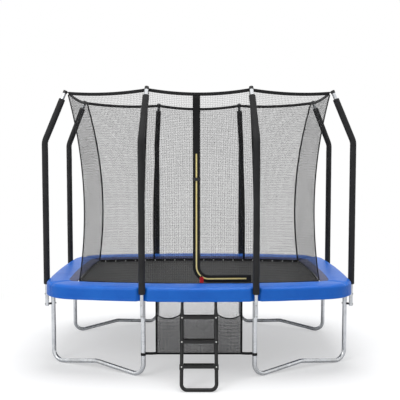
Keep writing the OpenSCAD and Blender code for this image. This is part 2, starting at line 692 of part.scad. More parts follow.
// A pad's outline, counter-clockwise from one corner to the next
function pad_path(line, long_side) =
    let (half = pad_half(line, long_side), last = len(half) - 1)
    long_side
        ? concat([for (i = [last:-1:0]) half[i]], [for (i = [1:last]) [-half[i].x, half[i].y]])
        : concat([for (i = [last:-1:0]) [half[i].x, -half[i].y]], without_first(half));
module pad_sweep(long_side) {
    paths = [for (point = PAD_SECTION) pad_path(pad_line(point[0], point[1]), long_side)];
    sweep([for (i = [0:len(paths[0]) - 1])
        [for (j = [0:len(PAD_SECTION) - 1]) [paths[j][i].x, paths[j][i].y, PAD_SECTION[j][2]]]
    ], hub = PAD_HUB);
}
module pole_notches(long_side) {
    at = long_side ? long_pole : short_pole;
    for (side = [-1, 1]) {
        translate([long_side ? side * at.x : at.x, long_side ? at.y : side * at.y, 0]) {
            translate([0, 0, skirt_h - 1])
                cylinder(r = pole_r + NOTCH_PLAY, h = pad_top_h - skirt_h + 2, $fn = TUBE_FN);
            translate([0, 0, sleeve_foot_h - NOTCH_PLAY])
                cylinder(r = sleeve_r + NOTCH_PLAY, h = pad_top_h - sleeve_foot_h + 2,
                    $fn = TUBE_FN);
        }
    }
}
// Room for what hooks over the front rail, under the pad
module rail_wrap(x, r, w) {
    translate([x, long_y(RAIL_LINE, x), rail_h]) rotate([0, 90, 0])
        cylinder(r = r, h = w, center = true, $fn = TUBE_FN);
}
module long_pad(side_y) {
    color(PAD_BLUE) quarter(1, side_y) difference() {
        pad_sweep(true);
        pole_notches(true);
        if (side_y < 0) {
            for (x = [-ladder_pivot_x, ladder_pivot_x])
                rail_wrap(x, hook_out + NOTCH_PLAY, HOOK_W + 2 * WRAP_PLAY);
            for (x = bag_loops) rail_wrap(x, loop_r + NOTCH_PLAY, LOOP_W + 2 * WRAP_PLAY);
        }
    }
}
module short_pad(side_x) {
    color(PAD_BLUE) quarter(side_x, 1) difference() {
        pad_sweep(false);
        pole_notches(false);
    }
}

// ---- safety net ----
HEM_IN = 18;            // hem's middle, inwards from the mat's edge
HEM_T = 3;
HEM_LINE = grown(RAIL_LINE, -spring_gap - HEM_IN);
LONG_SEAM_FOOT = 525;   // foot of a long-side seam, from the middle of the side
LONG_SEAM_SPREAD = 20;  // how far a long-side seam bows away from the middle of its side
hem_foot_h = mat_top + FIT;
hem_top_h = hem_foot_h + hem_w;
net_foot_h = hem_top_h + FIT;
long_hang = long_pole + hang_reach * [cos(long_lean_dir), sin(long_lean_dir)];
short_hang = short_pole + hang_reach * [cos(short_lean_dir), sin(short_lean_dir)];
long_foot = [LONG_SEAM_FOOT, long_y(HEM_LINE, LONG_SEAM_FOOT)];
short_foot = corner_point(HEM_LINE);

// The eight seams, counter-clockwise from the rear right corner: [side x, side y, on a long side]
SEAMS = [
    [1, 1, false], [1, 1, true], [-1, 1, true], [-1, 1, false],
    [-1, -1, false], [-1, -1, true], [1, -1, true], [1, -1, false]
];
function seam(k) = SEAMS[k % 8];
function on_side(k, p) = [seam(k)[0] * p.x, seam(k)[1] * p.y];
function seam_top(k) = on_side(k, seam(k)[2] ? long_hang : short_hang);
function seam_foot(k) = on_side(k, seam(k)[2] ? long_foot : short_foot);
function seam_draw(k) =
    on_side(k, seam(k)[2] ? [LONG_SEAM_SPREAD, -long_draw] : [-short_draw, 0]);
function blend(a, b, t) = a + (b - a) * t;

// Span k of the net runs from seam k to the next one
function is_long_span(k) = seam(k)[2] && seam(k + 1)[2];
function is_corner_span(k) = seam(k)[2] != seam(k + 1)[2];
function span_sag(k) = is_long_span(k) ? long_sag : short_sag;
function span_out(k) =
    let (d = seam_top(k + 1) - seam_top(k)) [d.y, -d.x] / norm(d);
// A point of the hem between a long-side seam and the corner, from 0 to 1
function corner_hem_point(t) =
    let (from = atan2(long_foot.y - long_centre(HEM_LINE).y, long_foot.x))
    let (turn = corner_long_angle(HEM_LINE), to = corner_mid_angle(HEM_LINE))
    let (long_part = (from - turn) * HEM_LINE[2], corner_part = (turn - to) * HEM_LINE[4])
    let (s = t * (long_part + corner_part))
    let (bow = from - s / HEM_LINE[2], bend = turn - (s - long_part) / HEM_LINE[4])
    s < long_part ? long_centre(HEM_LINE) + HEM_LINE[2] * [cos(bow), sin(bow)]
        : corner_centre(HEM_LINE) + HEM_LINE[4] * [cos(bend), sin(bend)];
function span_foot(k, t) =
    let (p = blend(seam_foot(k), seam_foot(k + 1), t))
    is_long_span(k) ? [p.x, seam(k)[1] * long_y(HEM_LINE, p.x)]
        : is_corner_span(k) ? on_side(k, corner_hem_point(seam(k)[2] ? t : 1 - t))
        : [seam(k)[0] * short_x(HEM_LINE, p.y), p.y];
function band_h(k, t) = hang_h - span_sag(k) * 4 * t * (1 - t);
function net_top_h(k, t) = band_h(k, t) - band_w / 2 - FIT;
// A point of the net: t from 0 to 1 along span k, and drop from 0 at the band to 1 at the hem
function net_point(k, t, drop) =
    let (top = blend(seam_top(k), seam_top(k + 1), t))
    let (draw = blend(seam_draw(k), seam_draw(k + 1), t))
    let (p = blend(top, span_foot(k, t), drop) + draw * 4 * drop * (1 - drop))
    [p.x, p.y, blend(net_top_h(k, t), net_foot_h, drop)];

NET_COLS = 4;
NET_ROWS = 8;
SEAM_GAP = 4;           // a panel's edge, short of the seam
// Places of the strands' edges from 0 to 1, with gaps between the strands
function strand_places(gaps, strand) = [for (i = [0:gaps]) each
    [blend(0, 1 - strand, i / gaps), blend(0, 1 - strand, i / gaps) + strand]];
net_drops = strand_places(NET_ROWS, strand_w / (hang_h - net_foot_h));
// Places of the strands' edges along span k, which the band above it shares
function span_places(k) =
    let (run = norm(seam_top(k + 1) - seam_top(k)))
    [for (t = strand_places(NET_COLS, strand_w / run))
        blend(SEAM_GAP / run, 1 - SEAM_GAP / run, t)];
module net_panel(k) {
    across = span_places(k);
    half = [span_out(k).x, span_out(k).y, 0] * net_t / 2;
    color(NET_BLACK) placed() shell(
        [for (drop = net_drops) [for (t = across) net_point(k, t, drop) + half]],
        [for (drop = net_drops) [for (t = across) net_point(k, t, drop) - half]],
        open = true);
}
function band_ring(p, out, h) =
    let (outer = p + out * BAND_T / 2, inner = p - out * BAND_T / 2)
    let (low = h - band_w / 2, high = h + band_w / 2)
    [[inner.x, inner.y, low], [inner.x, inner.y, high],
        [outer.x, outer.y, high], [outer.x, outer.y, low]];
module net_band() {
    color(BLACK) placed() sweep([for (k = [0:7], t = concat([0], span_places(k)))
        let (bend = span_out(k) + span_out(k + 7))
        let (out = t == 0 ? bend / (bend * span_out(k)) : span_out(k))
        band_ring(blend(seam_top(k), seam_top(k + 1), t), out, band_h(k, t))
    ], closed = true);
}
module net_hem() {
    color(BLACK) placed() translate([0, 0, hem_foot_h]) linear_extrude(hem_w) difference() {
        outline_2d(grown(HEM_LINE, HEM_T / 2));
        outline_2d(grown(HEM_LINE, -HEM_T / 2));
    }
}
SEAM_W = 12;
SEAM_T = 2;
SEAM_PLAY = 0.9;        // gap between a seam and the faces of its panels
module net_seams() {
    color(BLACK) placed() for (k = [0:7]) {
        bend = span_out(k) + span_out(k + 7);
        out = [bend.x, bend.y, 0] / norm(bend);
        side = [-out.y, out.x, 0] * SEAM_W / 2;
        inner = [for (drop = net_drops) net_point(k, 0, drop) + out * (net_t / 2 + SEAM_PLAY)];
        shell([for (p = inner) [p + out * SEAM_T - side, p + out * SEAM_T + side]],
            [for (p = inner) [p - side, p + side]]);
    }
}

// ---- door: a zip on black webbing, which runs down and then along the hem ----
FRONT = 5;              // the net's span at the front
WEB_OUT = 2.1;          // webbing's inner face, outside the net's middle
WEB_T = 2;
ZIP_T = 1.5;
ZIP_FOOT_RISE = 64;     // the zip's level part above the mat
WEB_END = 34;           // webbing's end, short of the foot of the front seam
DOOR_STEP = 70;         // distance between the points of the door's path
zip_x = -zip_left;
zip_foot_h = mat_top + ZIP_FOOT_RISE;
zip_centre = [zip_x + zip_bend_r, zip_foot_h + zip_bend_r];
zip_out = WEB_OUT + WEB_T + FIT;
// The net's outer side at the front, as Y at the place x and height h
function front_y(x, h) =
    let (top = net_top_h(FRONT, 0.5 + x / (2 * long_hang.x)))
    let (drop = min(1, max(0, (top - h) / (top - net_foot_h))))
    let (draw = 4 * drop * (1 - drop))
    let (half = blend(long_hang.x, long_foot.x, drop) + LONG_SEAM_SPREAD * draw)
    net_point(FRONT, 0.5 + x / (2 * half), drop).y;
// The door's path as [x, height, direction]: down, round the bend, and along to the right
function door_path(from_h, to_x) =
    let (down = ceil((from_h - zip_centre.y) / DOOR_STEP))
    let (along = ceil((to_x - zip_centre.x) / DOOR_STEP))
    concat(
        [for (i = [0:down - 1]) [zip_x, blend(from_h, zip_centre.y, i / down), 0]],
        [for (a = [0:9:90]) [zip_centre.x - zip_bend_r * cos(a),
            zip_centre.y - zip_bend_r * sin(a), a]],
        [for (i = [1:along]) [blend(zip_centre.x, to_x, i / along), zip_foot_h, 90]]);
// A ribbon along the door's path, from one distance outside the net to another
module door_ribbon(path, w, from_out, to_out) {
    side = function(at, across, out)
        let (x = at[0] + across * cos(at[2]), h = at[1] + across * sin(at[2]))
        [x, front_y(x, h) - out, h];
    shell([for (at = path) [for (across = [-w / 2, 0, w / 2]) side(at, across, to_out)]],
        [for (at = path) [for (across = [-w / 2, 0, w / 2]) side(at, across, from_out)]]);
}
module door_webbing() {
    start_h = net_top_h(FRONT, 0.5 + (zip_x - door_w / 2) / (2 * long_hang.x));
    color(BLACK) placed()
        door_ribbon(door_path(start_h, LONG_SEAM_FOOT - WEB_END), door_w, WEB_OUT, WEB_OUT + WEB_T);
}
module zip_chain() {
    color(ZIP_YELLOW) placed()
        door_ribbon(door_path(zip_top_h, zip_end_x), zip_w, zip_out, zip_out + ZIP_T);
}
SLIDER_TURN = 54;       // the slider's place on the zip's bend, from its upper end
SLIDER_LEN = 20;
SLIDER_T = 3.5;
SLIDER_PLAY = 0.6;      // gap between the slider and the zip
EYE_W = 5;
EYE_R = 4;
EYE_HOLE_R = 2.4;
PULL_W = 37;
PULL_LEN = 60;
PULL_T = 2;
PULL_PIN_R = 2;
slider_at = [zip_centre.x - zip_bend_r * cos(SLIDER_TURN),
    zip_centre.y - zip_bend_r * sin(SLIDER_TURN)];
// How far the net leans in with height beside the bend of the zip
door_slope = (front_y(zip_x, zip_centre.y) - front_y(zip_centre.x, zip_foot_h)) / zip_bend_r;
slider_out = zip_out + ZIP_T + SLIDER_PLAY;
eye_out = slider_out + SLIDER_T + EYE_R / 2;
// Puts its children at the slider, with -Y straight out of the net and Z up along it
module at_slider() {
    placed() translate([slider_at.x, front_y(slider_at.x, slider_at.y), slider_at.y])
        rotate([-atan(door_slope), 0, 0]) children();
}
module zip_slider() {
    color(BLACK) at_slider() difference() {
        union() {
            translate([0, -slider_out - SLIDER_T / 2, 0]) rotate([0, 90 - SLIDER_TURN, 0])
                cube([SLIDER_LEN, SLIDER_T, zip_w - 2], center = true);
            translate([-EYE_W / 2, -eye_out, 0]) rotate([0, 90, 0])
                cylinder(r = EYE_R, h = EYE_W, $fn = TUBE_FN);
        }
        translate([-EYE_W, -eye_out, 0]) rotate([0, 90, 0])
            cylinder(r = EYE_HOLE_R, h = EYE_W * 2, $fn = TUBE_FN);
    }
}
module zip_pull() {
    arm_in = EYE_W / 2 + FIT;
    arm_t = 3;
    color(RIBBON_RED) at_slider() translate([0, -eye_out, 0]) {
        translate([-arm_in - arm_t, 0, 0]) rotate([0, 90, 0])
            cylinder(r = PULL_PIN_R, h = 2 * (arm_in + arm_t), $fn = TUBE_FN);
        for (side = [-1, 1]) {
            translate([side > 0 ? arm_in : -arm_in - arm_t, -PULL_T / 2, -EYE_R * 2])
                cube([arm_t, PULL_T, EYE_R * 2]);
        }
        translate([-PULL_W / 2, -PULL_T / 2, -PULL_LEN])
            cube([PULL_W, PULL_T, PULL_LEN - EYE_R * 1.5]);
    }
}
BUCKLE_SHIFT = 10;       // joint of the buckle's halves, to the right of the zip
BUCKLE_RISE = 1015;     // height of the buckle above the rail's axis
BUCKLE_BODY_LEN = 46;
BUCKLE_CLIP_LEN = 27;
BUCKLE_W = 29;
BUCKLE_T = 9;
BUCKLE_WALL = 2;
BUCKLE_PLAY = 0.4;
TONGUE_LEN = 32;
buckle_h = rail_h + BUCKLE_RISE;
buckle_slope = (front_y(zip_x, buckle_h + BUCKLE_W / 2)
    - front_y(zip_x, buckle_h - BUCKLE_W / 2)) / BUCKLE_W;
// Puts its children at the joint of the buckle's halves, on the zip's face
module at_buckle() {
    placed() translate([zip_x + BUCKLE_SHIFT, front_y(zip_x, buckle_h) - zip_out - ZIP_T - FIT,
        buckle_h]) rotate([-atan(buckle_slope), 0, 0]) children();
}
module buckle_body() {
    color(BLACK) at_buckle() difference() {
        translate([-BUCKLE_BODY_LEN, -BUCKLE_T, -BUCKLE_W / 2])
            cube([BUCKLE_BODY_LEN, BUCKLE_T, BUCKLE_W]);
        translate([-TONGUE_LEN - 1, -BUCKLE_T + BUCKLE_WALL, -BUCKLE_W / 2 + BUCKLE_WALL])
            cube([TONGUE_LEN + 2, BUCKLE_T - 2 * BUCKLE_WALL, BUCKLE_W - 2 * BUCKLE_WALL]);
    }
}
module buckle_clip() {
    slack = BUCKLE_WALL + BUCKLE_PLAY;
    color(BLACK) at_buckle() {
        translate([BUCKLE_PLAY, -BUCKLE_T, -BUCKLE_W / 2])
            cube([BUCKLE_CLIP_LEN, BUCKLE_T, BUCKLE_W]);
        translate([-TONGUE_LEN, -BUCKLE_T + slack, -BUCKLE_W / 2 + slack])
            cube([TONGUE_LEN + 1, BUCKLE_T - 2 * slack, BUCKLE_W - 2 * slack]);
    }
}

// ---- ladder ----
HOOK_W = 25;
HOOK_T = 4;
HOOK_PLAY = 0.8;
HOOK_BACK = 45;         // where the hook ends behind the rail, up from level
HOOK_FRONT = 225;       // where the hook meets the ladder's tube
HOOK_LAP = 6;           // hook's lap over the ladder's tube
LADDER_NECK = 150;      // top of the lower tube, along the ladder
NECK_LEN = 15;
TOP_TUBE_START = 34;    // top of the upper tubes, along the ladder
TOP_TUBE_END = 209;     // lower end of the upper tubes, inside the lower tube
LADDER_WALL = 1.5;
FOOT_R = 50;            // corner radius at the ladder's foot
STEP_T = 20;
LIP_T = 6;
EAR_H = 46;             // height of the plates at a step's ends, which the screws hold
STEPS = 3;
SCREW_R = 4;
SCREW_HEAD_R = 6;
SCREW_HEAD_T = 2.5;
hook_in = rail_r + HOOK_PLAY;
hook_out = hook_in + HOOK_T;
ladder_top_r = ladder_top_d / 2;
ladder_bore = ladder_r - LADDER_WALL;
lip_in = ladder_r + FIT;
ear_w = step_w - ladder_w;

// Puts its children in the ladder's frame: origin on the rail's axis, -Z down along the ladder
module at_ladder() {
    placed() translate([0, -ladder_pivot.x, rail_h]) rotate([-ladder_lean, 0, 0]) children();
}
// A rod along the lower tube, from a distance down the ladder, through the foot and back up
module lower_rod(r, from) {
    straight = ladder_len - FOOT_R;
    for (side = [-1, 1]) {
        translate([side * ladder_pivot_x, 0, -straight])
            cylinder(r = r, h = straight - from, $fn = TUBE_FN);
        translate([side * (ladder_pivot_x - FOOT_R), 0, -straight]) rotate([90, 0, 0])
            rotate(side > 0 ? 270 : 180) bend_rod(r, FOOT_R, 90);
    }
    translate([-ladder_pivot_x + FOOT_R, 0, -ladder_len]) rotate([0, 90, 0])
        cylinder(r = r, h = ladder_w - 2 * FOOT_R, $fn = TUBE_FN);
}
module ladder_screw_holes(r) {
    for (side = [-1, 1], i = [0:STEPS - 1]) {
        translate([side * ladder_pivot_x, 0, -first_step - i * step_pitch]) rotate([90, 0, 0])
            cylinder(r = r, h = ladder_r * 2, $fn = 24);
    }
}
module ladder_hook(side) {
    ring_end = [cos(HOOK_FRONT), sin(HOOK_FRONT)];
    hook = concat(
        [for (a = [HOOK_BACK:9:HOOK_FRONT]) hook_out * [cos(a), sin(a)]],
        [[-ladder_top_r, -TOP_TUBE_START - HOOK_LAP], [0, -TOP_TUBE_START - HOOK_LAP],
            [0, -TOP_TUBE_START]],
        [for (a = [HOOK_FRONT:-9:HOOK_BACK]) hook_in * [cos(a), sin(a)]]);
    translate([side * ladder_pivot_x, 0, 0]) rotate([90, 0, 90])
        linear_extrude(HOOK_W, center = true) polygon(hook);
}
module ladder_frame() {
    color(BLACK) at_ladder() difference() {
        union() {
            difference() {
                lower_rod(ladder_r, LADDER_NECK);
                lower_rod(ladder_bore, LADDER_NECK + NECK_LEN);
                for (side = [-1, 1]) {
                    translate([side * ladder_pivot_x, 0, -LADDER_NECK - NECK_LEN - 1])
                        cylinder(r = ladder_top_r + SLIP, h = NECK_LEN + 2, $fn = TUBE_FN);
                }
            }
            for (side = [-1, 1]) {
                translate([side * ladder_pivot_x, 0, -TOP_TUBE_END]) difference() {
                    cylinder(r = ladder_top_r, h = TOP_TUBE_END - TOP_TUBE_START, $fn = TUBE_FN);
                    translate([0, 0, -1])
                        cylinder(r = ladder_top_r - LADDER_WALL,
                            h = TOP_TUBE_END - TOP_TUBE_START - 5, $fn = TUBE_FN);
                }
                ladder_hook(side);
            }
        }
        ladder_screw_holes(SCREW_R + SLIP);
    }
}
module ladder_steps() {
    color(BLACK) at_ladder() difference() {
        for (i = [0:STEPS - 1]) {
            translate([0, -lip_in, -first_step - i * step_pitch]) {
                translate([-step_w / 2, -LIP_T, -step_lip / 2]) cube([step_w, LIP_T, step_lip]);
                for (x = [-step_w / 2, step_w / 2 - ear_w])
                    translate([x, -LIP_T, -EAR_H / 2]) cube([ear_w, LIP_T, EAR_H]);
                rotate([ladder_lean, 0, 0])
                    translate([-ladder_pivot_x + ladder_r + SEAT, -LIP_T / 2, -STEP_T / 2])
                    cube([ladder_w - ladder_d - 2 * SEAT, step_depth, STEP_T]);
            }
        }
        translate([0, -ladder_r / 2, 0]) ladder_screw_holes(SCREW_R + SLIP);
    }
}
module ladder_screws() {
    color(WHITE) at_ladder() for (side = [-1, 1], i = [0:STEPS - 1]) {
        translate([side * ladder_pivot_x, -lip_in - LIP_T - FIT,
            -first_step - i * step_pitch]) rotate([90, 0, 0]) {
            rotate_extrude($fn = TUBE_FN) polygon([
                [0, 0], [SCREW_HEAD_R, 0], [SCREW_HEAD_R * 0.7, SCREW_HEAD_T * 0.8],
                [0, SCREW_HEAD_T]
            ]);
            translate([0, 0, -LIP_T - 2 * FIT - LADDER_WALL])
                cylinder(r = SCREW_R, h = LIP_T + 2 * FIT + LADDER_WALL, $fn = 24);
        }
    }
}

// ---- shoe bag ----
BAG_Y = 974;            // the back sheet's middle, towards the front
CLOTH_T = 2;
LOOP_W = 25;
LOOP_T = 2.5;
LOOP_PLAY = 0.5;
STRAP_LAP = 10;
POCKET_WALL = 2;
POCKET_FOOT = 5;        // pockets' lower edge above the bag's
POCKET_GAP = 4;         // between two pockets
MIDDLE_POCKET_W = 310;
SCALLOP = 42;           // sag of a pocket's mouth
loop_in = rail_r + LOOP_PLAY;
loop_r = loop_in + LOOP_T;
bag_loops = [-2 * long_pitch, 0, 2 * long_pitch];
bag_back = BAG_Y - CLOTH_T / 2;
bag_front = BAG_Y + CLOTH_T / 2;
// A loop round the front rail, with its strap down to the sheet
module bag_loop(x) {
    rail_y = long_y(RAIL_LINE, x);
    translate([x, 0, 0]) rotate([90, 0, 90]) linear_extrude(LOOP_W, center = true) {
        translate([rail_y, rail_h]) difference() {
            circle(r = loop_r, $fn = TUBE_FN);
            circle(r = loop_in, $fn = TUBE_FN);
        }
        polygon([
            [rail_y - loop_in, rail_h], [rail_y - loop_r, rail_h],
            [bag_back, bag_top_h], [bag_back, bag_top_h - STRAP_LAP],
            [bag_front, bag_top_h - STRAP_LAP], [bag_front, bag_top_h]
        ]);
    }
}
// The strap from a lower corner of the sheet to a ring round the leg
module bag_strap(side) {
    mirror([side < 0 ? 1 : 0, 0, 0]) translate([0, 0, bag_foot_h]) linear_extrude(LOOP_W) {
        translate(long_leg) difference() {
            circle(r = leg_r + LOOP_PLAY + LOOP_T, $fn = TUBE_FN);
            circle(r = leg_r + LOOP_PLAY, $fn = TUBE_FN);
        }
        polygon([
            [bag_w / 2 - STRAP_LAP, bag_back], [bag_w / 2 - STRAP_LAP, bag_front],
            [long_leg.x, long_leg.y - leg_r - LOOP_PLAY],
            [long_leg.x, long_leg.y - leg_r - LOOP_PLAY - LOOP_T]
        ]);
    }
}
module shoe_bag() {
    color(NET_BLACK) quarter(1, -1) {
        translate([-bag_w / 2, bag_back, bag_foot_h])
            cube([bag_w, CLOTH_T, bag_top_h - bag_foot_h]);
        for (x = bag_loops) bag_loop(x);
        for (side = [-1, 1]) bag_strap(side);
    }
}
module pocket(from_x, w) {
    h = pocket_top_h - bag_foot_h - POCKET_FOOT;
    scallop_r = (w * w / 4 + SCALLOP * SCALLOP) / (2 * SCALLOP);
    translate([from_x, bag_front + FIT, bag_foot_h + POCKET_FOOT]) difference() {
        cube([w, pocket_depth, h]);
        translate([POCKET_WALL, -1, POCKET_WALL])
            cube([w - 2 * POCKET_WALL, pocket_depth - POCKET_WALL + 1, h]);
        translate([w / 2, -1, h + scallop_r - SCALLOP]) rotate([-90, 0, 0])
            cylinder(r = scallop_r, h = pocket_depth + 2, $fn = 180);
    }
}
module shoe_pockets() {
    side_w = (bag_w - MIDDLE_POCKET_W) / 2 - POCKET_GAP;
    color(NET_BLACK) quarter(1, -1) {
        pocket(-MIDDLE_POCKET_W / 2, MIDDLE_POCKET_W);
        pocket(-bag_w / 2, side_w);
        pocket(bag_w / 2 - side_w, side_w);
    }
}

long_rail(-1);  // rail_front
long_rail(1);  // rail_rear
short_rail(-1);  // rail_left
short_rail(1);  // rail_right
corner_rail(-1, -1);  // corner_rail_front_left
corner_rail(1, -1);  // corner_rail_front_right
corner_rail(-1, 1);  // corner_rail_rear_left
corner_rail(1, 1);  // corner_rail_rear_right
leg(-1, -1);  // leg_front_left
leg(1, -1);  // leg_front_right
leg(-1, 1);  // leg_rear_left
leg(1, 1);  // leg_rear_right
pole(-1, -1, true);  // pole_front_left
pole(1, -1, true);  // pole_front_right
pole(-1, 1, true);  // pole_rear_left
pole(1, 1, true);  // pole_rear_right
pole(-1, -1, false);  // pole_side_front_left
pole(1, -1, false);  // pole_side_front_right
pole(-1, 1, false);  // pole_side_rear_left
pole(1, 1, false);  // pole_side_rear_right
sleeve(-1, -1, true);  // sleeve_front_left
sleeve(1, -1, true);  // sleeve_front_right
sleeve(-1, 1, true);  // sleeve_rear_left
sleeve(1, 1, true);  // sleeve_rear_right
sleeve(-1, -1, false);  // sleeve_side_front_left
sleeve(1, -1, false);  // sleeve_side_front_right
sleeve(-1, 1, false);  // sleeve_side_rear_left
sleeve(1, 1, false);  // sleeve_side_rear_right
pole_caps();
pole_bolts();
pole_spacers();
mat();
v_rings();
springs();
long_pad(-1);  // pad_front
long_pad(1);  // pad_rear
short_pad(-1);  // pad_left
short_pad(1);  // pad_right
net_panel(0);  // net_rear_right
net_panel(1);  // net_rear
net_panel(2);  // net_rear_left
net_panel(3);  // net_left
net_panel(4);  // net_front_left
net_panel(FRONT);  // net_front
net_panel(6);  // net_front_right
net_panel(7);  // net_right
net_band();
net_hem();
net_seams();
door_webbing();
zip_chain();
zip_slider();
zip_pull();
buckle_body();
buckle_clip();
ladder_frame();
ladder_steps();
ladder_screws();
shoe_bag();
shoe_pockets();
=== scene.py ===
import math

import bmesh
import bpy
from mathutils import Matrix, Vector, noise


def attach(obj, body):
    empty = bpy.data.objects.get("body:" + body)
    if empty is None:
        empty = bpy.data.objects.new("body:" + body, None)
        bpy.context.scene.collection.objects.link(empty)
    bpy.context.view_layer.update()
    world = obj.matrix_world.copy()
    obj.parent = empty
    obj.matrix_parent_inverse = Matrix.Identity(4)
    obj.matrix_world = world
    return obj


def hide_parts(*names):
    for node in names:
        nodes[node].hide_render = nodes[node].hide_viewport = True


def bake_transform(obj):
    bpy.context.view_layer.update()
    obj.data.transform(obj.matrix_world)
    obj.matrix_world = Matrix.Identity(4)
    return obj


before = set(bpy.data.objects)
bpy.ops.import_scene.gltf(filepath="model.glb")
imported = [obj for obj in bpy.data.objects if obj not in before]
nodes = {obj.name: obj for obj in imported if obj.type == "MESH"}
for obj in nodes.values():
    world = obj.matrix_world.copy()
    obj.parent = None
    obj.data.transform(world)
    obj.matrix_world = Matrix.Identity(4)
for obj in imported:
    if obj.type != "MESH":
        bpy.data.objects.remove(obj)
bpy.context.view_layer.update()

# ---- sizes in millimetres, from the part's own values, about the middle of the frame ----
SHIFT = 152.171         # from the origin to the middle of the frame, along +Y
# Outline in plan: half length, half width, and the long sides', short sides' and corners' radii
RAIL_LINE = [1437, 1021, 6000, 10000, 300]
RAIL_H = 775
RAIL_R = 21
LONG_OUT, SHORT_OUT = 62, 36
LONG_LEG = Vector((505, 999.71))
LONG_POLE = Vector((511, 1054.71))
SHORT_POLE = Vector((1476.68, 563))
LONG_LEAN_DIR = math.radians(259)
SHORT_LEAN_DIR = math.radians(190)
POLE_LEAN = math.radians(22.5)
POLE_R = 17.5
BEND_H, BEND_R = 2145, 150
SLEEVE_R, SLEEVE_FOOT, SLEEVE_TOP = 30.6, 768, 442
SLEEVE_GIRTH = 0.176    # metres of cloth round a sleeve
MAT_TOP = 790
SPRING_GAP = 250
RING_REACH = 26.3       # from the mat's edge to the hook's end
LONG_PITCH, SHORT_PITCH = 119.685, 113.673
HANG_H = 2607.79
LONG_HANG, SHORT_HANG = Vector((467.4, 830.41)), Vector((1251.66, 523.32))
HEM_INSET = 268
HEM_LINE = [size - HEM_INSET for size in RAIL_LINE]
HEM_FOOT, HEM_TOP = 790.3, 816.3
NET_FOOT = 816.6
BAND_W, BAND_T = 31, 5
LONG_SAG, SHORT_SAG = 40, 22
LONG_DRAW, SHORT_DRAW = 60, 92
ZIP_X, ZIP_FOOT = -24, 854
ZIP_BEND_R = 118
FLAP_END_X, ZIP_END_X, ZIP_HEAD = 491, 446, 2026
WEB_W, ZIP_W, TOOTH_PITCH = 68, 13, 4
PULL_PIN, PULL_SLOPE, PULL_HALF = (24.641, -759.589, 877.402), math.atan(0.0723489), 18.5
BAG_HALF, BAG_FOOT, BAG_TOP, BAG_Y = 395, 200, 745, 974
POCKET_FOOT, POCKET_TOP, MOUTH_DIP = 205, 583, 42
SIDE_POCKET_W, MIDDLE_POCKET_HALF = 236, 154
LOOP_R = 22.8           # loops of the bag round the rail
TIE_R, TIE_H = 22.7, 212.5      # ties of the bag round the legs


def at(x, y, z):
    """A point in metres, from millimetres about the middle of the frame."""
    return Vector((x, y + SHIFT, z)) / 1000


def lerp(a, b, t):
    return a + (b - a) * t


def ease(value, low, high):
    """0 below low, 1 above high, and smooth between."""
    t = min(1.0, max(0.0, (value - low) / (high - low)))
    return t * t * (3 - 2 * t)


def ripple(x, y, z, seed=0.0):
    """Smooth noise from -1 to 1 at a point that is already scaled."""
    return noise.noise(Vector((x + seed * 17.3, y - seed * 5.1, z + seed * 9.7)))


# ---- outlines in plan ----
def grown(line, by):
    return [size + by for size in line]


def long_centre(line):
    return Vector((0, line[1] - line[2]))


def short_centre(line):
    return Vector((line[0] - line[3], 0))


def corner_centre(line):
    a, b = long_centre(line), short_centre(line)
    ra, rb = line[2] - line[4], line[3] - line[4]
    span = (b - a).length
    along = (b - a) / span
    across = Vector((-along.y, along.x))
    reach = (ra * ra - rb * rb + span * span) / (2 * span)
    return a + along * reach - across * math.sqrt(ra * ra - reach * reach)


def corner_angles(line):
    centre = corner_centre(line)
    a, b = centre - long_centre(line), centre - short_centre(line)
    return math.atan2(a.y, a.x), math.atan2(b.y, b.x)


def side_point(line, long_side, u):
    """A point of an outline: u is 0 at a side's middle, 1 where the corner starts and 2 at the
    corner's middle, and below 0 on the side's other half."""
    long_turn, short_turn = corner_angles(line)
    middle = (long_turn + short_turn) / 2
    start, turn = (math.pi / 2, long_turn) if long_side else (0, short_turn)
    if abs(u) <= 1:
        centre, r = (long_centre(line), line[2]) if long_side else (short_centre(line), line[3])
        angle = start + (turn - start) * abs(u)
    else:
        centre, r = corner_centre(line), line[4]
        angle = turn + (middle - turn) * (abs(u) - 1)
    p = centre + r * Vector((math.cos(angle), math.sin(angle)))
    if u < 0:
        p = Vector((-p.x, p.y)) if long_side else Vector((p.x, -p.y))
    return p


def long_y(line, x):
    return long_centre(line).y + math.sqrt(line[2] ** 2 - x * x)


def short_x(line, y):
    return short_centre(line).x + math.sqrt(line[3] ** 2 - y * y)


def corner_point(line):
    return side_point(line, True, 2)


def loop_points(line, step):
    """A whole outline, counter-clockwise from the middle of the right side."""
    points = []
    long_turn, short_turn = corner_angles(line)
    corner_len = line[4] * (long_turn - short_turn) / 2
    counts = (max(2, round(line[3] * short_turn / step)), max(2, round(corner_len / step)),
              max(2, round(line[2] * (math.pi / 2 - long_turn) / step)))
    runs = ((counts[0], False, 0, 1), (counts[1], False, 1, 1), (counts[1], True, 2, -1),
            (counts[2], True, 1, -1))
    for count, long_side, start, sign in runs:
        points += [side_point(line, long_side, start + sign * i / count) for i in range(count)]
    points.append(side_point(line, True, 0))
    left = [Vector((-p.x, p.y)) for p in reversed(points[:-1])]
    upper = points + left
    lower = [Vector((p.x, -p.y)) for p in reversed(upper[1:-1])]
    return upper + lower


# ---- meshes ----
def alone(obj):
    """Leaves only obj selected and active."""
    bpy.ops.object.select_all(action="DESELECT")
    obj.select_set(True)
    bpy.context.view_layer.objects.active = obj
    return obj


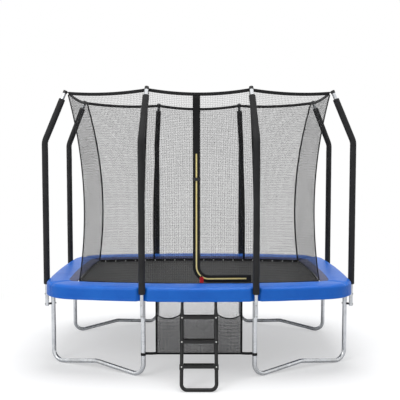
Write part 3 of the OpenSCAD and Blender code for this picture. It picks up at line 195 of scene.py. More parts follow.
def new_piece(name, verts, faces, uvs=None, smooth=True):
    """A mesh object. uvs holds one pair per vertex, in metres along and across the cloth."""
    mesh = bpy.data.meshes.new(name)
    mesh.from_pydata([tuple(v) for v in verts], [], faces)
    if uvs:
        layer = mesh.uv_layers.new(name="cloth")
        for loop in mesh.loops:
            layer.data[loop.index].uv = uvs[loop.vertex_index]
    mesh.polygons.foreach_set("use_smooth", [smooth] * len(mesh.polygons))
    mesh.update()
    obj = bpy.data.objects.new(name, mesh)
    bpy.context.scene.collection.objects.link(obj)
    return obj


def grid(rows, closed_rows=False, closed_cols=False, caps=False, first=0):
    """Faces through rows of points that are numbered row by row from first."""
    count, width = len(rows), len(rows[0])
    faces = []
    for i in range(count if closed_rows else count - 1):
        for j in range(width if closed_cols else width - 1):
            this, after = first + i * width, first + (i + 1) % count * width
            k = (j + 1) % width
            faces.append((this + j, this + k, after + k, after + j))
    if caps:
        faces.append(tuple(first + j for j in reversed(range(width))))
        faces.append(tuple(first + (count - 1) * width + j for j in range(width)))
    return faces


def surface(name, rows, uvs=None, **options):
    """A piece through rows of points."""
    flat_uvs = [pair for row in uvs for pair in row] if uvs else None
    return new_piece(name, [p for row in rows for p in row], grid(rows, **options), flat_uvs)


def outward(obj):
    """Turns all faces outwards."""
    mesh = bmesh.new()
    mesh.from_mesh(obj.data)
    bmesh.ops.recalc_face_normals(mesh, faces=mesh.faces)
    mesh.to_mesh(obj.data)
    mesh.free()
    return obj


def modify(obj, kind, **settings):
    """Adds a modifier and applies it."""
    alone(obj)
    bpy.ops.object.modifier_add(type=kind)
    modifier = obj.modifiers[-1]
    for key, value in settings.items():
        setattr(modifier, key, value)
    bpy.ops.object.modifier_apply(modifier=modifier.name)
    return obj


def thicken(obj, thickness):
    return modify(obj, "SOLIDIFY", thickness=thickness, offset=0)


def copies(name, pattern, places):
    """One piece of a pattern's mesh at each place, each with its own vertices."""
    mesh = bmesh.new()
    for place in places:
        start = len(mesh.verts)
        mesh.from_mesh(pattern.data)
        mesh.verts.ensure_lookup_table()
        bmesh.ops.transform(mesh, matrix=place, verts=mesh.verts[start:])
    data = bpy.data.meshes.new(name)
    mesh.to_mesh(data)
    mesh.free()
    obj = bpy.data.objects.new(name, data)
    bpy.context.scene.collection.objects.link(obj)
    return obj


def discard(obj):
    bpy.data.objects.remove(obj)


def finish_piece(obj, body, material, replaced=()):
    """Gives a piece its material, body and the nodes that it stands for."""
    obj.data.materials.clear()
    obj.data.materials.append(material)
    if body:
        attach(obj, body)
    if replaced:
        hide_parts(*replaced)
    return obj


# ---- material building ----
def give(node, **inputs):
    """Sets a node's inputs, by name or by number after _, to constants or other sockets."""
    for key, value in inputs.items():
        socket = node.inputs[int(key[1:]) if key[0] == "_" else key.replace("_", " ")]
        if isinstance(value, bpy.types.NodeSocket):
            node.id_data.links.new(value, socket)
        else:
            socket.default_value = value


def put(kind, settings=None, tree=None, **inputs):
    """A node with its settings and inputs. Its tree is that of the sockets it takes."""
    if not tree:
        tree = next(v.id_data for v in inputs.values() if isinstance(v, bpy.types.NodeSocket))
    made = tree.nodes.new("ShaderNode" + kind)
    for key, value in (settings or {}).items():
        setattr(made, key, value)
    give(made, **inputs)
    return made


def maths(operation, a, b=0.0, clamp=False):
    return put("Math", {"operation": operation, "use_clamp": clamp}, _0=a, _1=b).outputs[0]


def times(a, b):
    return maths("MULTIPLY", a, b)


def plus(a, b):
    return maths("ADD", a, b)


def shared(a, share, b):
    """A mean of two values, with a's share of it."""
    return plus(times(a, share), times(b, 1 - share))


def spread(value, low, high, to_low=0.0, to_high=1.0):
    """Maps a value from low..high to another range, and clamps it."""
    return put("MapRange", {"clamp": True}, Value=value, From_Min=low, From_Max=high,
               To_Min=to_low, To_Max=to_high).outputs[0]


def mixed(factor, a, b):
    """Two colours mixed by a factor."""
    return put("Mix", {"data_type": "RGBA"}, _0=factor, _6=a, _7=b).outputs[2]


def noise_of(place, scale, detail):
    return put("TexNoise", Vector=place, Scale=scale, Detail=detail).outputs["Fac"]


def axes(vector):
    return put("SeparateXYZ", Vector=vector).outputs


def start_group(name, outputs, **inputs):
    """A node group that takes a place and numbers, and gives numbers."""
    tree = bpy.data.node_groups.new(name, "ShaderNodeTree")
    tree.interface.new_socket(name="Place", in_out="INPUT", socket_type="NodeSocketVector")
    for label, value in inputs.items():
        socket = tree.interface.new_socket(name=label, in_out="INPUT",
                                           socket_type="NodeSocketFloat")
        socket.default_value = value
    for label in outputs:
        tree.interface.new_socket(name=label, in_out="OUTPUT", socket_type="NodeSocketFloat")
    return tree, tree.nodes.new("NodeGroupInput").outputs, tree.nodes.new("NodeGroupOutput")


def weave_group():
    """Plain weave: threads that cross over and under each other."""
    tree, given, result = start_group("plain_weave", ["Height", "Shade"], Thread=0.001)
    thread = given["Thread"]
    size = put("CombineXYZ", X=thread, Y=thread, Z=thread).outputs[0]
    scaled = put("VectorMath", {"operation": "DIVIDE"}, _0=given["Place"], _1=size)
    parts = axes(scaled.outputs[0])
    across, along = [maths("SINE", times(parts[axis], math.pi)) for axis in "XY"]
    crossing = times(across, along)
    rounded = shared(maths("ABSOLUTE", across), 0.5, maths("ABSOLUTE", along))
    give(result, Height=plus(times(crossing, 0.5), rounded),
         Shade=spread(crossing, -0.6, 0.6))
    return tree


def mesh_group():
    """Knitted mesh: upright chains and zigzag threads between them, as a mask of threads."""
    tree, given, result = start_group("knitted_mesh", ["Threads"], Cell=0.008, Thread=0.12)
    parts = axes(given["Place"])
    u, v = [maths("DIVIDE", parts[axis], given["Cell"]) for axis in "XY"]
    half = times(given["Thread"], 0.5)
    masks = []
    for run, other, zigzag in ((u, v, 0.16), (v, u, 0.2)):
        swing = times(maths("PINGPONG", other, 1.0), zigzag)
        gap = maths("PINGPONG", plus(run, swing), 0.5)
        masks.append(maths("LESS_THAN", gap, half))
    give(result, Threads=maths("MAXIMUM", *masks))
    return tree


def mottle_group():
    """Uneven tone at two sizes, from 0 to 1."""
    tree, given, result = start_group("mottle", ["Tone", "Grain"], Coarse=4.0, Fine=60.0)
    for label, scale, detail in (("Tone", "Coarse", 3.0), ("Grain", "Fine", 4.0)):
        uneven = noise_of(given["Place"], given[scale], detail)
        give(result, **{label: spread(uneven, 0.3, 0.7)})
    return tree


def dust_group():
    """Dust that lies on faces that look up, and dirt in the lowest 0.25 m."""
    tree, given, result = start_group("dust", ["Dust"])
    lying = spread(axes(put("NewGeometry", tree=tree).outputs["Normal"])["Z"], 0.4, 1.0)
    share = maths("DIVIDE", axes(given["Place"])["Z"], 0.25)
    near = maths("SUBTRACT", 1.0, share, True)
    patches = spread(noise_of(given["Place"], 9.0, 5.0), 0.35, 0.75)
    give(result, Dust=times(maths("MAXIMUM", lying, near), patches))
    return tree


WEAVE, MESH, MOTTLE, DUST = weave_group(), mesh_group(), mottle_group(), dust_group()


def use_group(group, **inputs):
    return put("Group", {"node_tree": group}, **inputs).outputs


def new_material(name):
    """A material, its node tree, its shader and its coordinates."""
    material = bpy.data.materials.new(name)
    material.use_nodes = True
    tree = material.node_tree
    return material, tree, tree.nodes["Principled BSDF"], put("TexCoord", tree=tree).outputs


def start_look(name, coarse, fine):
    """A material, its coordinates, and its uneven tone and grain."""
    material, _, _, place = new_material(name)
    spots = use_group(MOTTLE, Place=place["Object"], Coarse=coarse, Fine=fine)
    return material, place, spots["Tone"], spots["Grain"]


def dusted(place, base, amount, colour):
    """A base colour under some dust, and the dust's mask."""
    dusty = use_group(DUST, Place=place["Object"])["Dust"]
    return mixed(times(dusty, amount), base, colour), dusty


def complete(material, base, grain, rough, height, depth, strength=0.5, **inputs):
    """Fills in the shader: colour, roughness between two values, relief and other inputs."""
    bump = put("Bump", Height=height, Distance=depth, Strength=strength).outputs[0]
    give(material.node_tree.nodes["Principled BSDF"], Base_Color=base, Normal=bump,
         Roughness=spread(grain, 0, 1, *rough), **inputs)
    return material


def tone(red, green=None, blue=None):
    """A shader colour from an sRGB colour in 0..255, or a grey from one number."""
    def linear(value):
        value /= 255
        return value / 12.92 if value <= 0.04045 else ((value + 0.055) / 1.055) ** 2.4
    if green is None:
        green = blue = red
    return (linear(red), linear(green), linear(blue), 1.0)


def galvanised_steel(name, light, dark, roughness):
    """Steel with a crystal pattern in its zinc."""
    material, place, uneven, grain = start_look(name, 16.0, 420.0)
    crystals = put("TexVoronoi", Vector=place["Object"], Scale=160.0).outputs["Color"]
    base = mixed(shared(uneven, 0.6, crystals), dark, light)
    base, dusty = dusted(place, base, 0.3, tone(150, 143, 130))
    metal = maths("SUBTRACT", 0.9, times(dusty, 0.5))
    return complete(material, base, grain, (roughness - 0.06, roughness + 0.12), grain, 0.0002, 0.35,
                    Metallic=metal)


def sleeve_cloth(name, light, dark):
    """Woven cloth with uneven tone."""
    material, place, uneven, grain = start_look(name, 7.0, 260.0)
    woven = use_group(WEAVE, Place=place["UV"], Thread=0.0012)
    base = mixed(shared(woven["Shade"], 0.5, uneven), dark, light)
    return complete(material, base, grain, (0.57, 0.7), woven["Height"], 0.0003,
                    Specular_IOR_Level=0.2, Sheen_Weight=0.03, Sheen_Roughness=0.5)


def moulded_plastic(name, light, dark, roughness):
    material, _, uneven, grain = start_look(name, 25.0, 900.0)
    return complete(material, mixed(uneven, dark, light), grain,
                    (roughness - 0.05, roughness + 0.1), grain, 0.00015)


def powder_coat(name, light, dark):
    """Painted steel with a fine orange-peel face and dust on its upper sides."""
    material, place, uneven, grain = start_look(name, 12.0, 700.0)
    base, _ = dusted(place, mixed(uneven, dark, light), 0.07, tone(110, 105, 98))
    return complete(material, base, grain, (0.37, 0.52), grain, 0.0002, Specular_IOR_Level=0.3,
                    Coat_Weight=0.05, Coat_Roughness=0.3)


def coated_pvc(name, light, dark):
    """Coated fabric of the spring pad: a fine embossed cloth under a smooth face."""
    material, place, uneven, grain = start_look(name, 5.0, 90.0)
    woven = use_group(WEAVE, Place=place["Object"], Thread=0.0011)
    base = mixed(shared(uneven, 0.8, woven["Shade"]), dark, light)
    base, _ = dusted(place, base, 0.03, tone(150, 170, 200))
    wrinkles = noise_of(place["Object"], 26.0, 6.0)
    height = plus(times(woven["Height"], 0.12), wrinkles)
    return complete(material, base, grain, (0.32, 0.46), height, 0.003, 0.45,
                    Specular_IOR_Level=0.25, Coat_Weight=0.05, Coat_Roughness=0.25)


def jumping_cloth(name, light, dark):
    """Woven tape of the mat, with rows of stitches along its sewn border."""
    material, place, uneven, grain = start_look(name, 2.2, 150.0)
    woven = use_group(WEAVE, Place=place["Object"], Thread=0.003)
    base = mixed(shared(woven["Shade"], 0.45, uneven), dark, light)
    border = axes(place["UV"])
    gap = maths("PINGPONG", maths("SUBTRACT", border["Y"], 0.006), 0.009)
    row = maths("LESS_THAN", gap, 0.0009)
    inside = maths("LESS_THAN", border["Y"], 0.052)
    dash = maths("LESS_THAN", maths("PINGPONG", border["X"], 0.003), 0.002)
    stitch = times(times(row, inside), dash)
    base = mixed(inside, base, tone(44))
    base = mixed(times(stitch, 0.7), base, tone(120, 120, 121))
    height = plus(woven["Height"], times(stitch, 0.8))
    return complete(material, base, grain, (0.5, 0.68), height, 0.0006, 0.6,
                    Specular_IOR_Level=0.25)


def mesh_cloth(name, colour, cell, thread, blur=0.0):
    """See-through knitted mesh that follows the cloth's own UV map."""
    material, place, uneven, grain = start_look(name, 6.0, 300.0)
    knit = use_group(MESH, Place=place["UV"], Cell=cell, Thread=thread)["Threads"]
    folds = noise_of(place["Object"], 3.2, 3.0)
    tight = spread(folds, 0.3, 0.7, 0.82, 1.0)
    base = mixed(uneven, [c * 0.7 for c in colour[:3]] + [1], colour)
    return complete(material, base, grain, (0.6, 0.8), knit, 0.0006, 0.4, Specular_IOR_Level=0.2,
                    Alpha=times(maths("MAXIMUM", knit, blur), tight))


def webbing(name, light, dark, rib=0.002, source="UV"):
    """Flat woven strap with ribs along it."""
    material, place, uneven, grain = start_look(name, 9.0, 340.0)
    ribs = use_group(WEAVE, Place=place[source], Thread=rib)
    base = mixed(shared(ribs["Shade"], 0.6, uneven), dark, light)
    return complete(material, base, grain, (0.62, 0.78), ribs["Height"], 0.0005, 0.6,
                    Specular_IOR_Level=0.2, Sheen_Weight=0.05)


STEEL = galvanised_steel("galvanised_tube", tone(238, 240, 242), tone(200, 203, 207), 0.24)
ZINC = galvanised_steel("zinc_plated_bolt", tone(200, 200, 198), tone(150, 150, 146), 0.3)
SPRING_STEEL = galvanised_steel("spring_wire", tone(186, 188, 190), tone(120, 124, 128), 0.3)
SLEEVE = sleeve_cloth("sleeve_cover", tone(47, 47, 48), tone(30, 30, 31))
BLACK_PLASTIC = moulded_plastic("black_moulding", tone(34, 34, 35), tone(20, 20, 21), 0.42)
WHITE_PLASTIC = moulded_plastic("white_moulding", tone(236, 236, 234), tone(214, 214, 210), 0.4)
LADDER_BLACK = powder_coat("ladder_paint", tone(26, 26, 27), tone(14, 14, 15))
PAD_BLUE = coated_pvc("pad_cover", tone(22, 108, 208), tone(12, 95, 196))
# Painted shade: a darker navy copy of the pad's blue, for the inner edge and the underside, which
# lie in shade
PAD_PAINTED_SHADE = coated_pvc("pad_inner_painted_shade", tone(16, 36, 100), tone(10, 26, 80))
MAT_CLOTH = jumping_cloth("mat_cloth", tone(51, 51, 50), tone(36))
NET_CLOTH = mesh_cloth("net_cloth", tone(36, 36, 37), 0.0155, 0.09, 0.068)
NET_END_CLOTH = mesh_cloth("net_end_cloth", tone(36, 36, 37), 0.0155, 0.11, 0.12)
BAG_CLOTH = mesh_cloth("bag_cloth", tone(34, 34, 35), 0.006, 0.24)
POCKET_CLOTH = mesh_cloth("pocket_cloth", tone(32, 32, 33), 0.005, 0.2, 0.2)
BLACK_WEBBING = webbing("black_webbing", tone(30, 30, 31), tone(14, 14, 15))
BAND_WEBBING = webbing("band_webbing", tone(40, 40, 41), tone(20, 20, 21))
ZIP_TAPE = webbing("zip_tape", tone(255, 240, 165), tone(244, 222, 138), 0.0012)
ZIP_TEETH = moulded_plastic("zip_teeth", tone(255, 244, 190), tone(246, 228, 156), 0.35)
RIBBON = webbing("pull_ribbon", tone(236, 52, 60), tone(208, 34, 44), 0.0014)
# The ties are real tabs, but their white is a painted glint that stands for the light the V-rings
# catch
TIE_PAINTED_GLINT = webbing("tie_painted_glint", tone(226, 226, 222), tone(190, 190, 186), 0.001, "Object")


# ---- finishes on the rigid solids ----
def refinish(material, *names):
    for name in names:
        data = nodes[name].data
        data.materials.clear()
        data.materials.append(material)


SIDES = [("rear", "right", 1, 1), ("rear", "left", -1, 1), ("front", "left", -1, -1),
         ("front", "right", 1, -1)]
refinish(STEEL, "rail_front", "rail_rear", "rail_left", "rail_right")
for end, hand, _, _ in SIDES:
    refinish(STEEL, f"corner_rail_{end}_{hand}", f"leg_{end}_{hand}", f"pole_{end}_{hand}",
             f"pole_side_{end}_{hand}")
refinish(BLACK_PLASTIC, "pole_caps", "pole_spacers", "buckle_body", "buckle_clip", "zip_slider")
refinish(ZINC, "pole_bolts")
refinish(LADDER_BLACK, "ladder_frame", "ladder_steps")
refinish(WHITE_PLASTIC, "ladder_screws")


# ---- foam sleeves on the poles ----
def pole_line(distance, start_h):
    """A point of a pole's axis as (reach inwards, height, tilt), by the distance from start_h."""
    tangent = BEND_R * math.tan(POLE_LEAN / 2)
    straight = BEND_H - tangent - start_h
    bend = BEND_R * POLE_LEAN
    if distance <= straight:
        return 0.0, start_h + distance, 0.0
    if distance <= straight + bend:
        turn = (distance - straight) / BEND_R
        return (BEND_R * (1 - math.cos(turn)), start_h + straight + BEND_R * math.sin(turn), turn)
    rest = distance - straight - bend + tangent
    return rest * math.sin(POLE_LEAN), BEND_H + rest * math.cos(POLE_LEAN), POLE_LEAN


def sleeve(name, replaced, side_x, side_y, long_side, seed):
    """A foam tube in a sewn fabric cover, drawn in a little at its ends and creased at the bend."""
    pole = LONG_POLE if long_side else SHORT_POLE
    lean = LONG_LEAN_DIR if long_side else SHORT_LEAN_DIR
    toward = Vector((math.cos(lean), math.sin(lean)))
    beside = Vector((-toward.y, toward.x))
    tangent = BEND_R * math.tan(POLE_LEAN / 2)
    whole = BEND_H - tangent - SLEEVE_FOOT + BEND_R * POLE_LEAN + SLEEVE_TOP - tangent
    bend_at = BEND_H - tangent - SLEEVE_FOOT + BEND_R * POLE_LEAN / 2
    stops = [0, 0.4, 1.6, 4, 8] + [14 + (whole - 28) * i / 120 for i in range(121)]
    stops += [whole - 8, whole - 4, whole - 1.6, whole - 0.4, whole]
    rows, uvs = [], []
    sides = 36
    turns = [2 * math.pi * j / sides for j in range(sides)]

    def add_ring(s, radii):
        """Adds points round the pole's axis at the distance s, one for each radius."""
        reach, height, tilt = pole_line(s, SLEEVE_FOOT)
        row = []
        for turn, r in zip(turns, radii):
            inwards, side = r * math.cos(turn), r * math.sin(turn)
            p = pole + toward * (reach + inwards * math.cos(tilt)) + beside * side
            row.append(at(side_x * p.x, side_y * p.y, height - inwards * math.sin(tilt)))
        rows.append(row)
        uvs.append([(j / sides * SLEEVE_GIRTH, s / 1000) for j in range(sides)])

    for s in stops:
        edge = min(s, whole - s)
        r = POLE_R + 0.8 + (SLEEVE_R - POLE_R - 0.8) * (1 - (1 - min(1, edge / 8)) ** 2) ** 0.5
        radii = []
        for turn in turns:
            ring = ripple(math.cos(turn) * 0.7, math.sin(turn) * 0.7, s / 46, seed)
            slow = ripple(math.cos(turn) * 0.4, math.sin(turn) * 0.4, s / 210, seed + 3)
            crease = math.exp(-((s - bend_at) / 55) ** 2) * max(0, math.cos(turn))
            dip = 0.5 + 0.5 * ring + 0.4 * slow
            fold = crease * (1.2 + 1.2 * math.sin(s / 4.2 + 3 * slow))
            seam = 0.9 * math.exp(-((turn - math.pi) / 0.09) ** 2)
            radii.append(r - (0.9 * max(0, dip) + fold + seam) * min(1, edge / 10))
        add_ring(s, radii)
    for i in range(41):
        add_ring(whole - whole * i / 40, [POLE_R + 0.3] * sides)
    obj = outward(surface(name, rows, uvs, closed_cols=True, closed_rows=True))
    finish_piece(obj, "frame", SLEEVE, (replaced,))


for index, (end, hand, side_x, side_y) in enumerate(SIDES):
    for part, long_side, seed in ((f"{end}_{hand}", True, 1), (f"side_{end}_{hand}", False, 6)):
        sleeve(f"cover_{part}", f"sleeve_{part}", side_x, side_y, long_side, seed + index)


# ---- spring pad ----
# Share of the overhang, distance inwards, height, and how far wrinkles lift it up and out
PAD_SECTION = [
    (0, 252, 803.2, 0, 0), (0, 253.2, 805.2, 0, 0), (0, 251, 807.6, 0.3, 0),
    (0, 240, 812, 0.6, 0), (0, 222, 817, 0.9, 0), (0, 198, 822, 1, 0), (0, 172, 827.4, 1, 0),
    (0, 145, 831.4, 1, 0), (0, 116, 834, 1, 0), (0, 88, 835.2, 1, 0), (0, 60, 835.7, 1, 0),
    (0, 34, 835.6, 1, 0), (0, 10, 835, 1, 0), (0.25, 6, 833.9, 1, 0.1), (0.5, 6, 831.8, 1, 0.2),
    (0.75, 9, 828.6, 0.9, 0.4), (0.9, 10, 825, 0.8, 0.5), (1, 10.5, 821, 0.7, 0.6),
    (1, 6, 816.4, 0.5, 0.8), (1, 2.8, 811.4, 0.3, 0.9), (1, 1, 805.6, 0.1, 1), (1, 0.4, 799, 0, 1),
    (1, 0.2, 790, 0, 1), (1, 0.2, 780, 0, 1), (1, 0.2, 769, 0, 1), (1, 0.1, 758, 0, 1),
    (1, 0, 747, 0, 1), (1, 0, 737, 0, 1), (1, 0, 729, 0, 1), (1, 0, 725.5, 0, 1),
    (1, -0.8, 724.4, 0, 1), (1, -0.8, 716, 0, 1), (1, -0.6, 709, 0, 1), (1, 0.4, 706.2, 0, 1),
    (1, 2, 705.8, 0, 1), (1, 3.6, 706.4, 0, 1), (1, 4, 712, 0, 1), (1, 4, 740, 0, 1),
    (1, 4, 770, 0, 1), (1, 4.6, 788, 0, 0.6), (1, 8, 795, 0, 0.2), (0, 18, 796.4, 0, 0),
    (0, 60, 797.6, 0, 0), (0, 120, 799.2, 0, 0), (0, 200, 801.6, 0, 0)]
CORNER_END = 0.9985     # where a panel stops in its half of a corner
CORNER_RUN, HALF_RUN = 190, 1000    # lengths of that half and of half a side, roughly
INNER_SHADE_ROWS = 6         # rows of the section, from the inner edge, under the navy painted shade
UNDER_ROWS = 5          # rows of the section on the underside, which take the same navy painted shade
POLE_DENT = 32.5        # half width of the room that the skirt leaves behind a pole


def pad_line(share, inwards):
    return [RAIL_LINE[0] + share * SHORT_OUT - inwards, RAIL_LINE[1] + share * LONG_OUT - inwards,
            RAIL_LINE[2] + share * LONG_OUT - inwards, RAIL_LINE[3] + share * SHORT_OUT - inwards,
            RAIL_LINE[4] + share * (LONG_OUT + SHORT_OUT) / 2 - inwards]


def behind_pole(p, long_side):
    """Draws a pad's point in behind a pole that stands beside it, in the +X +Y quarter."""
    pole = LONG_POLE if long_side else SHORT_POLE
    centre = long_centre(RAIL_LINE) if long_side else short_centre(RAIL_LINE)
    out = (pole - centre).normalized()
    side = Vector((-out.y, out.x))
    away, beside = (p - pole).dot(out), (p - pole).dot(side)
    limit = -POLE_DENT + beside * beside / (2 * POLE_DENT)
    if abs(beside) < 3 * POLE_DENT and away > limit:
        soft = limit + 0.12 * (away - limit)
        p = p - out * (away - min(away, soft))
    return p


def spring_pad(name, replaced, long_side, side, seed):
    """One panel of the spring pad: foam in a coated cover, with a skirt that hangs outside."""
    arc_cols, corner_cols = (92, 16) if long_side else (62, 16)
    half = [i / arc_cols for i in range(arc_cols)]
    half += [1 + i / corner_cols * CORNER_END for i in range(corner_cols + 1)]
    places = [-u for u in reversed(half[1:])] + half
    rows = []
    for u in places:
        row = []
        from_end = CORNER_RUN * min(1, 2 - abs(u)) + HALF_RUN * max(0, 1 - abs(u))
        pillow = ease(from_end, -4, 55)
        for share, inwards, height, lift, push in PAD_SECTION:
            x, y = side_point(pad_line(share, inwards), long_side, u)
            broad = ripple(x / 210, y / 210, 0, seed)
            crimp = ripple(x / 62, y / 62, height / 60, seed + 2)
            along = x if long_side else y
            creases = ripple(along / 95, (inwards - share * 40) / 15, 0, seed + 5)
            near_fold = math.exp(-((inwards - share * LONG_OUT + 10) / 34) ** 2)
            up = 2.2 * broad + crimp + 1.6 * near_fold * creases
            up -= (1 - pillow) * 9 * (1 if height > 808 else 0.2)
            hang = ease(820 - height, 0, 110)
            waves = ripple(along / 130, 0, seed) * (1.2 + 3.4 * hang) + 0.8 * crimp
            p = side_point(pad_line(share, inwards - push * waves), long_side, u)
            if share or inwards < 40:
                quarter = Vector((abs(p.x), abs(p.y)))
                moved = behind_pole(quarter, long_side)
                p = Vector((math.copysign(moved.x, p.x), math.copysign(moved.y, p.y)))
            z = height + lift * up
            row.append(at(p.x, side * p.y, z) if long_side else at(side * p.x, p.y, z))
        rows.append(row)
    obj = outward(surface(name, rows, closed_cols=True, caps=True))
    finish_piece(obj, "frame", PAD_BLUE, (replaced,))
    # Painted shade: faces on the inner edge and the underside take the navy copy of the blue
    obj.data.materials.append(PAD_PAINTED_SHADE)
    around = len(PAD_SECTION)
    for face in obj.data.polygons:
        along = face.index % around
        if len(face.vertices) == 4 and (along < INNER_SHADE_ROWS or along >= around - UNDER_ROWS):
            face.material_index = 1


for seed, (side, long_side, sign) in enumerate(
        [("front", True, -1), ("rear", True, 1), ("left", False, -1), ("right", False, 1)], 1):
    spring_pad(f"pad_cover_{side}", f"pad_{side}", long_side, sign, seed)


# ---- jumping mat ----
MAT_EDGE = 26           # length of an edge of its mesh
FLAT_FROM, FLAT_H = 80, 788.9
MAT_UNDERSIDE = 787.2


def jumping_mat():
    """The mat with its sewn border, which is a little thicker than the cloth."""
    def ring_at(inwards):
        """The outline drawn in, with as many points as the outline."""
        ring = loop_points(grown(RAIL_LINE, -SPRING_GAP - inwards), MAT_EDGE)
        if len(ring) == len(outline):
            return ring
        return [p * (1 - inwards / 900) for p in outline]

    outline = loop_points(grown(RAIL_LINE, -SPRING_GAP), MAT_EDGE)
    width = len(outline)
    steps = [(0, 788.4), (0, 789.6), (2, 790), (24, 790), (48, 790), (51, 789.0),
             (FLAT_FROM, FLAT_H)]
    rows, uvs = [], []
    length = [0.0]
    for a, b in zip(outline, outline[1:]):
        length.append(length[-1] + (b - a).length)
    for inwards, height in steps:
        rows.append([at(p.x, p.y, height) for p in ring_at(inwards)])
        uvs.append([(run / 1000, inwards / 1000) for run in length])
    last = ring_at(FLAT_FROM)
    for share in (0.92, 0.8, 0.65, 0.5, 0.35, 0.2, 0.08, 0.01):
        ring = [(p.x * share, p.y * share) for p in last]
        rows.append([at(x, y, FLAT_H + 0.7 * ripple(x / 260, y / 260, 0, 4)) for x, y in ring])
        uvs.append([(run / 1000, 0.08 + (1 - share)) for run in length])
    under = [[at(p.x * share, p.y * share, MAT_UNDERSIDE) for p in outline]
             for share in (1, 0.5)]
    start = len(rows) * width
    verts = [p for row in rows + under for p in row]
    faces = grid(rows, closed_cols=True)
    faces += [tuple(reversed(face)) for face in grid(under, closed_cols=True, first=start)]
    for j in range(width):
        k = (j + 1) % width
        faces.append((start + j, start + k, k, j))
    inner = (len(rows) - 1) * width
    faces.append(tuple(inner + j for j in range(width)))
    faces.append(tuple(start + width + j for j in reversed(range(width))))
    flat = [pair for row in uvs for pair in row] + [(run / 1000, 0.1) for run in length] * 2
    obj = new_piece("mat_cloth", verts, faces, flat)
    outward(obj)
    finish_piece(obj, "mat_unit", MAT_CLOTH, ("mat",))


jumping_mat()


# ---- springs and V-rings ----
def spring_places():
    """Each spring as (point on the rail, direction towards the mat), by side."""
    sides = {"front": [], "rear": [], "left": [], "right": []}
    def add(p, centre, side, sx, sy, i):
        inwards = (centre - p).normalized()
        sides[side].append((Vector((sx * p.x, sy * p.y)),
                            Vector((sx * inwards.x, sy * inwards.y)), i))

    for i in range(10):
        x = LONG_PITCH * (i + 0.5)
        for sx in (-1, 1):
            for sy, side in ((-1, "front"), (1, "rear")):
                add(Vector((x, long_y(RAIL_LINE, x))), long_centre(RAIL_LINE), side, sx, sy, i)
    for i in range(6):
        y = SHORT_PITCH * (i + 0.5)
        for sy in (-1, 1):
            for sx, side in ((-1, "left"), (1, "right")):
                add(Vector((short_x(RAIL_LINE, y), y)), short_centre(RAIL_LINE), side, sx, sy, i)
    return sides


def spring_frame(place, height, tilt=0.0):
    """A matrix with X from the rail's axis towards the mat."""
    point, inwards, _ = place
    turn = math.atan2(inwards.y, inwards.x)
    return (Matrix.Translation(at(point.x, point.y, height)) @ Matrix.Rotation(turn, 4, "Z")
            @ Matrix.Rotation(-tilt, 4, "Y"))


def coil_spring():
    """A spring's coil along +X, from a turned circle. Its hooked end wires are made in
    spring_pattern.
    """
    wire, coil_r, coil_len, turns = 0.0016, 0.0074, 0.140, 30
    bpy.ops.mesh.primitive_circle_add(vertices=5, radius=wire, location=(0, coil_r, 0),
                                      rotation=(math.pi / 2, 0, math.pi / 2))
    obj = bpy.context.object
    bpy.ops.object.transform_apply()
    modify(obj, "SCREW", axis="X", screw_offset=coil_len / turns, iterations=turns, steps=7,
           render_steps=7, use_normal_calculate=True)
    obj.data.transform(Matrix.Translation((0.037, 0, 0)))
    return obj


def end_wire(points, r, sides=6):
    """Rings round a line of points."""
    rows = []
    for i, p in enumerate(points):
        ahead = (points[min(i + 1, len(points) - 1)] - points[max(i - 1, 0)]).normalized()
        side = ahead.cross(Vector((0, 0.3, 1))).normalized()
        up = side.cross(ahead)
        rows.append([p + r * (math.cos(a) * side + math.sin(a) * up)
                     for a in [2 * math.pi * j / sides for j in range(sides)]])
    return rows


def spring_pattern():
    coil = coil_spring()
    start, finish = RAIL_R + 0.3, SPRING_GAP - RING_REACH
    first = [Vector((x, 0, z)) / 1000 for x, z in
             ((start, -4), (start + 0.8, -1), (start + 4, 0.6), (start + 9, 0.4), (37, 0))]
    first += [Vector((0.0372, 0.0045, 0.004)), Vector((0.0374, 0.0074, 0))]
    last = [Vector((0.177, 0.0074, 0)), Vector((0.1773, 0.0045, 0.004))]
    last += [Vector((x, 0, z)) / 1000 for x, z in
             ((178, 0), (200, 0), (finish - 4, 0.8), (finish + 1, 0), (finish + 2.4, -2.4))]
    pieces = [coil]
    for points in (first, last):
        pieces.append(surface("spring_end", end_wire(points, 0.0016), closed_cols=True, caps=True))
    whole = new_piece("spring_pattern", [], [])
    mesh = bmesh.new()
    for piece in pieces:
        mesh.from_mesh(piece.data)
    mesh.to_mesh(whole.data)
    mesh.free()
    for piece in pieces:
        discard(piece)
    whole.data.polygons.foreach_set("use_smooth", [True] * len(whole.data.polygons))
    return outward(whole)


SPRINGS = spring_places()
SPRING_RAIL_H, SPRING_MAT_H = 780, 792.3
BLEND_START, BLEND_END = 26, 222    # from the rail, the part of a spring between these two distances
SPRING_TILT = math.atan2(SPRING_MAT_H - SPRING_RAIL_H, SPRING_GAP - RING_REACH - RAIL_R)
pattern = spring_pattern()
# Side, and the first and last spring from the middle, that are made as one piece
spring_groups = [(side, *run) for side in ("front", "rear") for run in ((0, 4), (5, 7), (8, 9))]
spring_groups += [("left", 0, 5), ("right", 0, 5)]
for side, low, high in spring_groups:
    chosen = [place for place in SPRINGS[side] if low <= place[2] <= high]
    turns = [spring_frame(place, SPRING_RAIL_H - RAIL_R * math.tan(SPRING_TILT), SPRING_TILT)
             for place in chosen]
    obj = copies(f"springs_{side}_{low}", pattern, turns)
    finish_piece(obj, None, SPRING_STEEL)
    middle = sum((place[0] for place in chosen), Vector((0, 0))) / len(chosen)
    if side in ("front", "rear"):
        middle.x, out = 0, Vector((0, math.copysign(1, middle.y)))
    else:
        middle.y, out = 0, Vector((math.copysign(1, middle.x), 0))
    start, end = middle - out * BLEND_START, middle - out * BLEND_END
    at(start.x, start.y, 785)
    at(end.x, end.y, 785)
    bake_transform(obj)
    if side == "front" and low == 0:
        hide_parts("springs")
discard(pattern)


